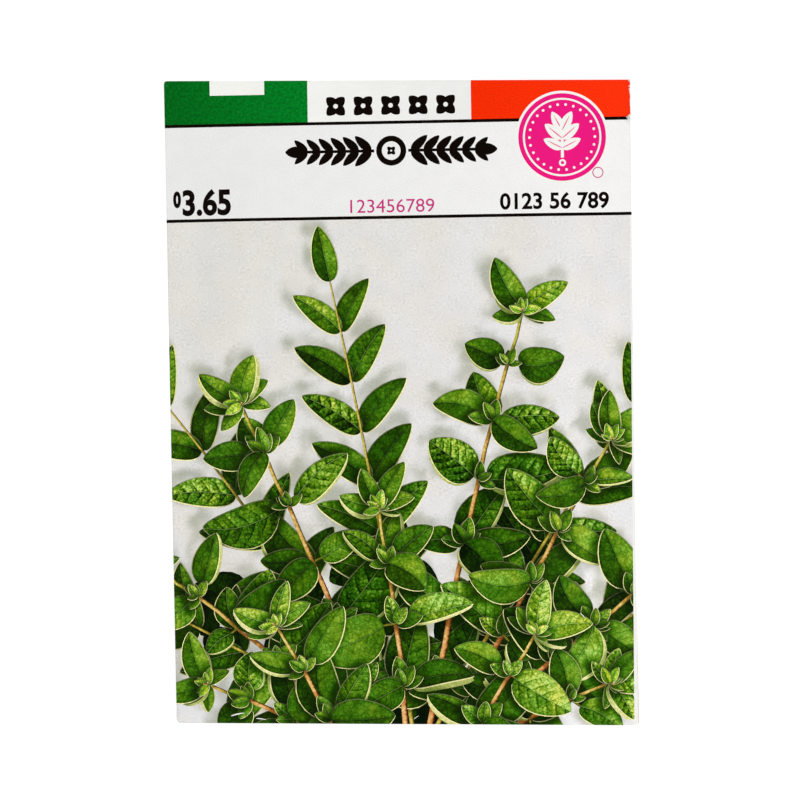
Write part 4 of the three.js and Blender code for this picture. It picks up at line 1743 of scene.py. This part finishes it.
# %% The leaves' ink
LEAF_GREENS = (
    (0.0, "#041002"),
    (0.2, "#122c00"),
    (0.38, "#1f4900"),
    (0.52, "#306306"),
    (0.66, "#4a7a14"),
    (0.82, "#73a22e"),
    (1.0, "#b2d060"),
)
YOUNG_GREENS = (
    (0.0, "#142606"),
    (0.25, "#366008"),
    (0.45, "#5e9016"),
    (0.65, "#98bc2c"),
    (0.82, "#ccd950"),
    (1.0, "#f2ee94"),
)
YELLOWER = (1.14, 1.0, 0.75, 1.0)  # what the greens are multiplied by, from patch to patch
BLUER = (0.85, 1.0, 1.1, 1.0)
MIDRIB = (0.02, 0.08, 1.0, 0.0)  # mm from and to, share from and to
PALE_MIDRIB = (0.3, 0.8, 0.08, 0.5)  # chance from and to, share from and to
DARK_EDGE = (0.06, 0.2, 0.85, 0.0)  # mm
AWAY = (-0.7, 0.1, 1.0, 0.25)  # how far the half turns up
PALE_EDGE = (0.6, 1.0, 1.0, 0.0)  # rim widths
UP = (-0.45, 0.25, 0.12, 1.0)
RIM_LIGHT = (0.35, 0.75, 0.0, 1.0)  # the leaf's light


def leaf_ink(node, sheet):
    at = on_leaf(node)
    bright = leaf_brightness(node, sheet, at)
    grown, young = (node("ValToRGB", bright, stops=greens) for greens in (LEAF_GREENS, YOUNG_GREENS))
    green = node("Mix", at.age, sockets={6: grown, 7: young}, **COLOUR)
    hue = node("Mix", at.hue, sockets={6: YELLOWER, 7: BLUER}, **COLOUR)
    green = node("VectorMath", green, hue, operation="MULTIPLY")

    turned = node("Math", at.rim_side, at.side, operation="MULTIPLY")
    rib, dark, pale = (
        node("MapRange", gap, *span, **SMOOTH)
        for gap, span in ((at.rib_gap, MIDRIB), (at.edge_gap, DARK_EDGE), (at.within_rim, PALE_EDGE))
    )
    pale_rib, away, up, rim_light = (
        node("MapRange", value, *span)
        for value, span in ((at.chance, PALE_MIDRIB), (turned, AWAY), (turned, UP), (at.light, RIM_LIGHT))
    )
    for colour, share, *factors in (
        ("#a9c470", rib, pale_rib, at.shaded, at.light),
        ("#0b2208", dark, away),
        ("#f2eca6", pale, up, rim_light, at.shaded),
    ):
        for factor in factors:
            share = node("Math", share, factor, operation="MULTIPLY")
        green = node("Mix", share, sockets={6: green, 7: linear(colour)}, **COLOUR)
    return green


materials["leaf"] = coated_paper("offset_picture_leaf", leaf_ink, grain_depth=0.2)
print("leaf ink:", len(materials["leaf"].node_tree.nodes), "nodes")

# %% [markdown]
# ## The undersides' ink
#
# The underside of a leaf is pale and downy. Only a narrow strip of it shows, streaked along the leaf and
# dim where other leaves shade it.

# %% The undersides' ink
PALE_GREENS = (
    (0.0, "#2e3c14"),
    (0.3, "#6d8034"),
    (0.55, "#a3ad5c"),
    (0.8, "#d2d38a"),
    (1.0, "#efe9b6"),
)
DOWN = {"down": (0.5, 3.0, 0.6, 0.95)}  # the streaks of its short hairs
UNDERSIDE_FOOT = (0.0, 0.5, 0.75, 1.0)  # along the leaf from and to, tone from and to
UNDERSIDE_SHADED = (0.0, 1.0, 1.0, 0.4)


def underside_ink(node, sheet):
    at = carried(node, "ink_place", "ink_tone")
    foot = node("MapRange", at.along, *UNDERSIDE_FOOT)
    shaded = node("MapRange", at.shade, *UNDERSIDE_SHADED)
    bright = uneven(node, sheet, DOWN).down
    for factor in (at.light, foot, shaded):
        bright = node("Math", bright, factor, operation="MULTIPLY")
    return node("ValToRGB", bright, stops=PALE_GREENS)


materials["underside"] = coated_paper("offset_picture_underside", underside_ink)
print("underside ink:", len(materials["underside"].node_tree.nodes), "nodes")

# %% [markdown]
# ## The stems' ink
#
# A woody stem is tan with a light flank, and turns yellow-green where it is young. It is shaded across as
# a round rod is.

# %% The stems' ink
WOODY = ((0.0, "#2c1608"), (0.25, "#8a4f22"), (0.45, "#c98a48"), (0.7, "#e2b87c"), (1.0, "#f6e8c4"))
YOUNG = ((0.0, "#26300c"), (0.3, "#7c8a24"), (0.55, "#b4b83c"), (0.75, "#d4d468"), (1.0, "#f0ecb0"))
BARK = {"streak": (0.5, 3.0, -0.2, 0.2)}
ROD = {"flank": 0.35, "middle": 0.62, "edge": -0.5}  # the tone across a stem
STEM_SHADED = (0.0, 1.0, 1.0, 0.35)


def stem_ink(node, sheet):
    at = carried(node, "ink_place", "ink_tone")
    streak = uneven(node, sheet, BARK).streak
    edge = node("Math", at.across, at.across, operation="MULTIPLY")
    bright = node("Math", at.across, ROD["flank"], ROD["middle"], operation="MULTIPLY_ADD")
    bright = node("Math", edge, ROD["edge"], bright, operation="MULTIPLY_ADD")
    bright = node("Math", bright, streak, operation="ADD")
    for factor in (at.light, node("MapRange", at.shade, *STEM_SHADED)):
        bright = node("Math", bright, factor, operation="MULTIPLY")
    woody, young = (node("ValToRGB", bright, stops=tones) for tones in (WOODY, YOUNG))
    return node("Mix", at.age, sockets={6: woody, 7: young}, **COLOUR)


materials["stem"] = coated_paper("offset_picture_stem", stem_ink)
for ink in INKS:
    mesh.materials.append(materials[ink])
print("inks on the sheet:", len(mesh.materials))

# %% [markdown]
# ## The packet joins the frame
#
# The folded paper stands for the plain envelope of the frame, which stays underneath for weight and
# contact.

# %% The packet joins the frame
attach(paper, "root")
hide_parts("envelope")
print("paper box, mm:", [round(v / MM, 2) for v in paper.dimensions])

# %% [markdown]
# ## The table
#
# Small flat goods are often shown on a light table of opal glass. It glows from below, so the thin packet
# throws no shadow on it.

# %% The table
FLOOR_SIZE = 3.0  # metres
TABLE_DROP = 0.00005  # metres: a hair below the flaps, so that the two never share a plane
OPAL_GLASS = {  # matt, grey by itself and white by its glow
    "Base Color": linear("#898989"),
    "Roughness": 0.9,
    "Specular IOR Level": 0.0,
    "Emission Color": linear("#ffffff"),
    "Emission Strength": 0.85,
}

half = FLOOR_SIZE / 2
rim_corners = [(x * half, y * half, -TABLE_DROP) for x, y in ((-1, -1), (1, -1), (1, 1), (-1, 1))]
top = bpy.data.meshes.new("table")
top.from_pydata(rim_corners, [], [(0, 1, 2, 3)])
opal_glass, node = empty_material("opal_glass_light_table")
node("OutputMaterial", node("BsdfPrincipled", sockets=OPAL_GLASS))
top.materials.append(opal_glass)
table = bpy.data.objects.new("table", top)
bpy.context.scene.collection.objects.link(table)
print("table:", FLOOR_SIZE, "m wide")

# %% [markdown]
# ## Light
#
# A pale room and two large soft lamps light the packet. The room is dim overhead and the lamps stand low
# at the sides, so that the coated paper doesn't mirror them straight into the camera and the inks stay
# deep. The right lamp is nearer, so the packet is a little brighter there.

# %% Light
ROOM_LIGHT = 1.0
OVERHEAD = 0.12  # of the room's light
OVERHEAD_FROM = (0.55, 0.85)  # how far up a direction points, where the room dims
LAMPS = (  # place in metres, size in metres, power in watts
    ((0.85, -0.3, 0.56), 0.6, 7.0),
    ((-0.8, 0.45, 0.62), 0.7, 5.2),
)

world = bpy.data.worlds.new("pale_room")
world.use_nodes = True
background = world.node_tree.nodes["Background"]
node = partial(add, world.node_tree)
upward = node("SeparateXYZ", node("TexCoord", out="Generated"), out=2)
strength = node("MapRange", upward, *OVERHEAD_FROM, ROOM_LIGHT, ROOM_LIGHT * OVERHEAD)
world.node_tree.links.new(strength, background.inputs["Strength"])
background.inputs["Color"].default_value = linear("#ffffff")
bpy.context.scene.world = world

for k, (place, size, power) in enumerate(LAMPS):
    lamp_data = bpy.data.lights.new(f"lamp_{k}", "AREA")
    lamp_data.shape = "DISK"
    lamp_data.size = size
    lamp_data.energy = power
    lamp = bpy.data.objects.new(f"lamp_{k}", lamp_data)
    lamp.location = place
    lamp.rotation_euler = (-Vector(place)).to_track_quat("-Z", "Y").to_euler()
    bpy.context.scene.collection.objects.link(lamp)
bpy.context.scene.view_settings.view_transform = "Standard"
print("lamps:", len(LAMPS))

# %% [markdown]
# ## Glue and seeds
#
# The dried glue and the seeds are sealed inside. Their plain solids stay as they are and only get a
# finish: dextrin glue dries to a smooth, yellowish film, and a seed's coat is dull and speckled.

# %% Glue and seeds
SPECKLE = (0.8, 1.15)  # the tone's low and high


def speckled(name, colour, roughness, grain):
    """A finish whose tone varies from grain to grain; grain is in mm."""
    material, node = empty_material(name)
    place = node("TexCoord", out="Object")
    tone = uneven(node, place, {"tone": (grain * MM, 3.0, *SPECKLE)}).tone
    base = node("VectorMath", linear(colour)[:3], sockets={"Scale": tone}, operation="SCALE")
    node("OutputMaterial", node("BsdfPrincipled", sockets={"Base Color": base, "Roughness": roughness}))
    return material


glue = speckled("dried_dextrin_glue", "#e3d9b8", 0.35, 1.5)
seed_coat = speckled("seed_coat", "#6b4a2c", 0.7, 0.3)
for name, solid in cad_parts.items():
    solid.data.materials.clear()
    solid.data.materials.append(seed_coat if name == "seeds" else glue)
print("glue films:", sum(name.startswith("glue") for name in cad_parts))

# %% [markdown]
# ## The last line
#


print("scene built")
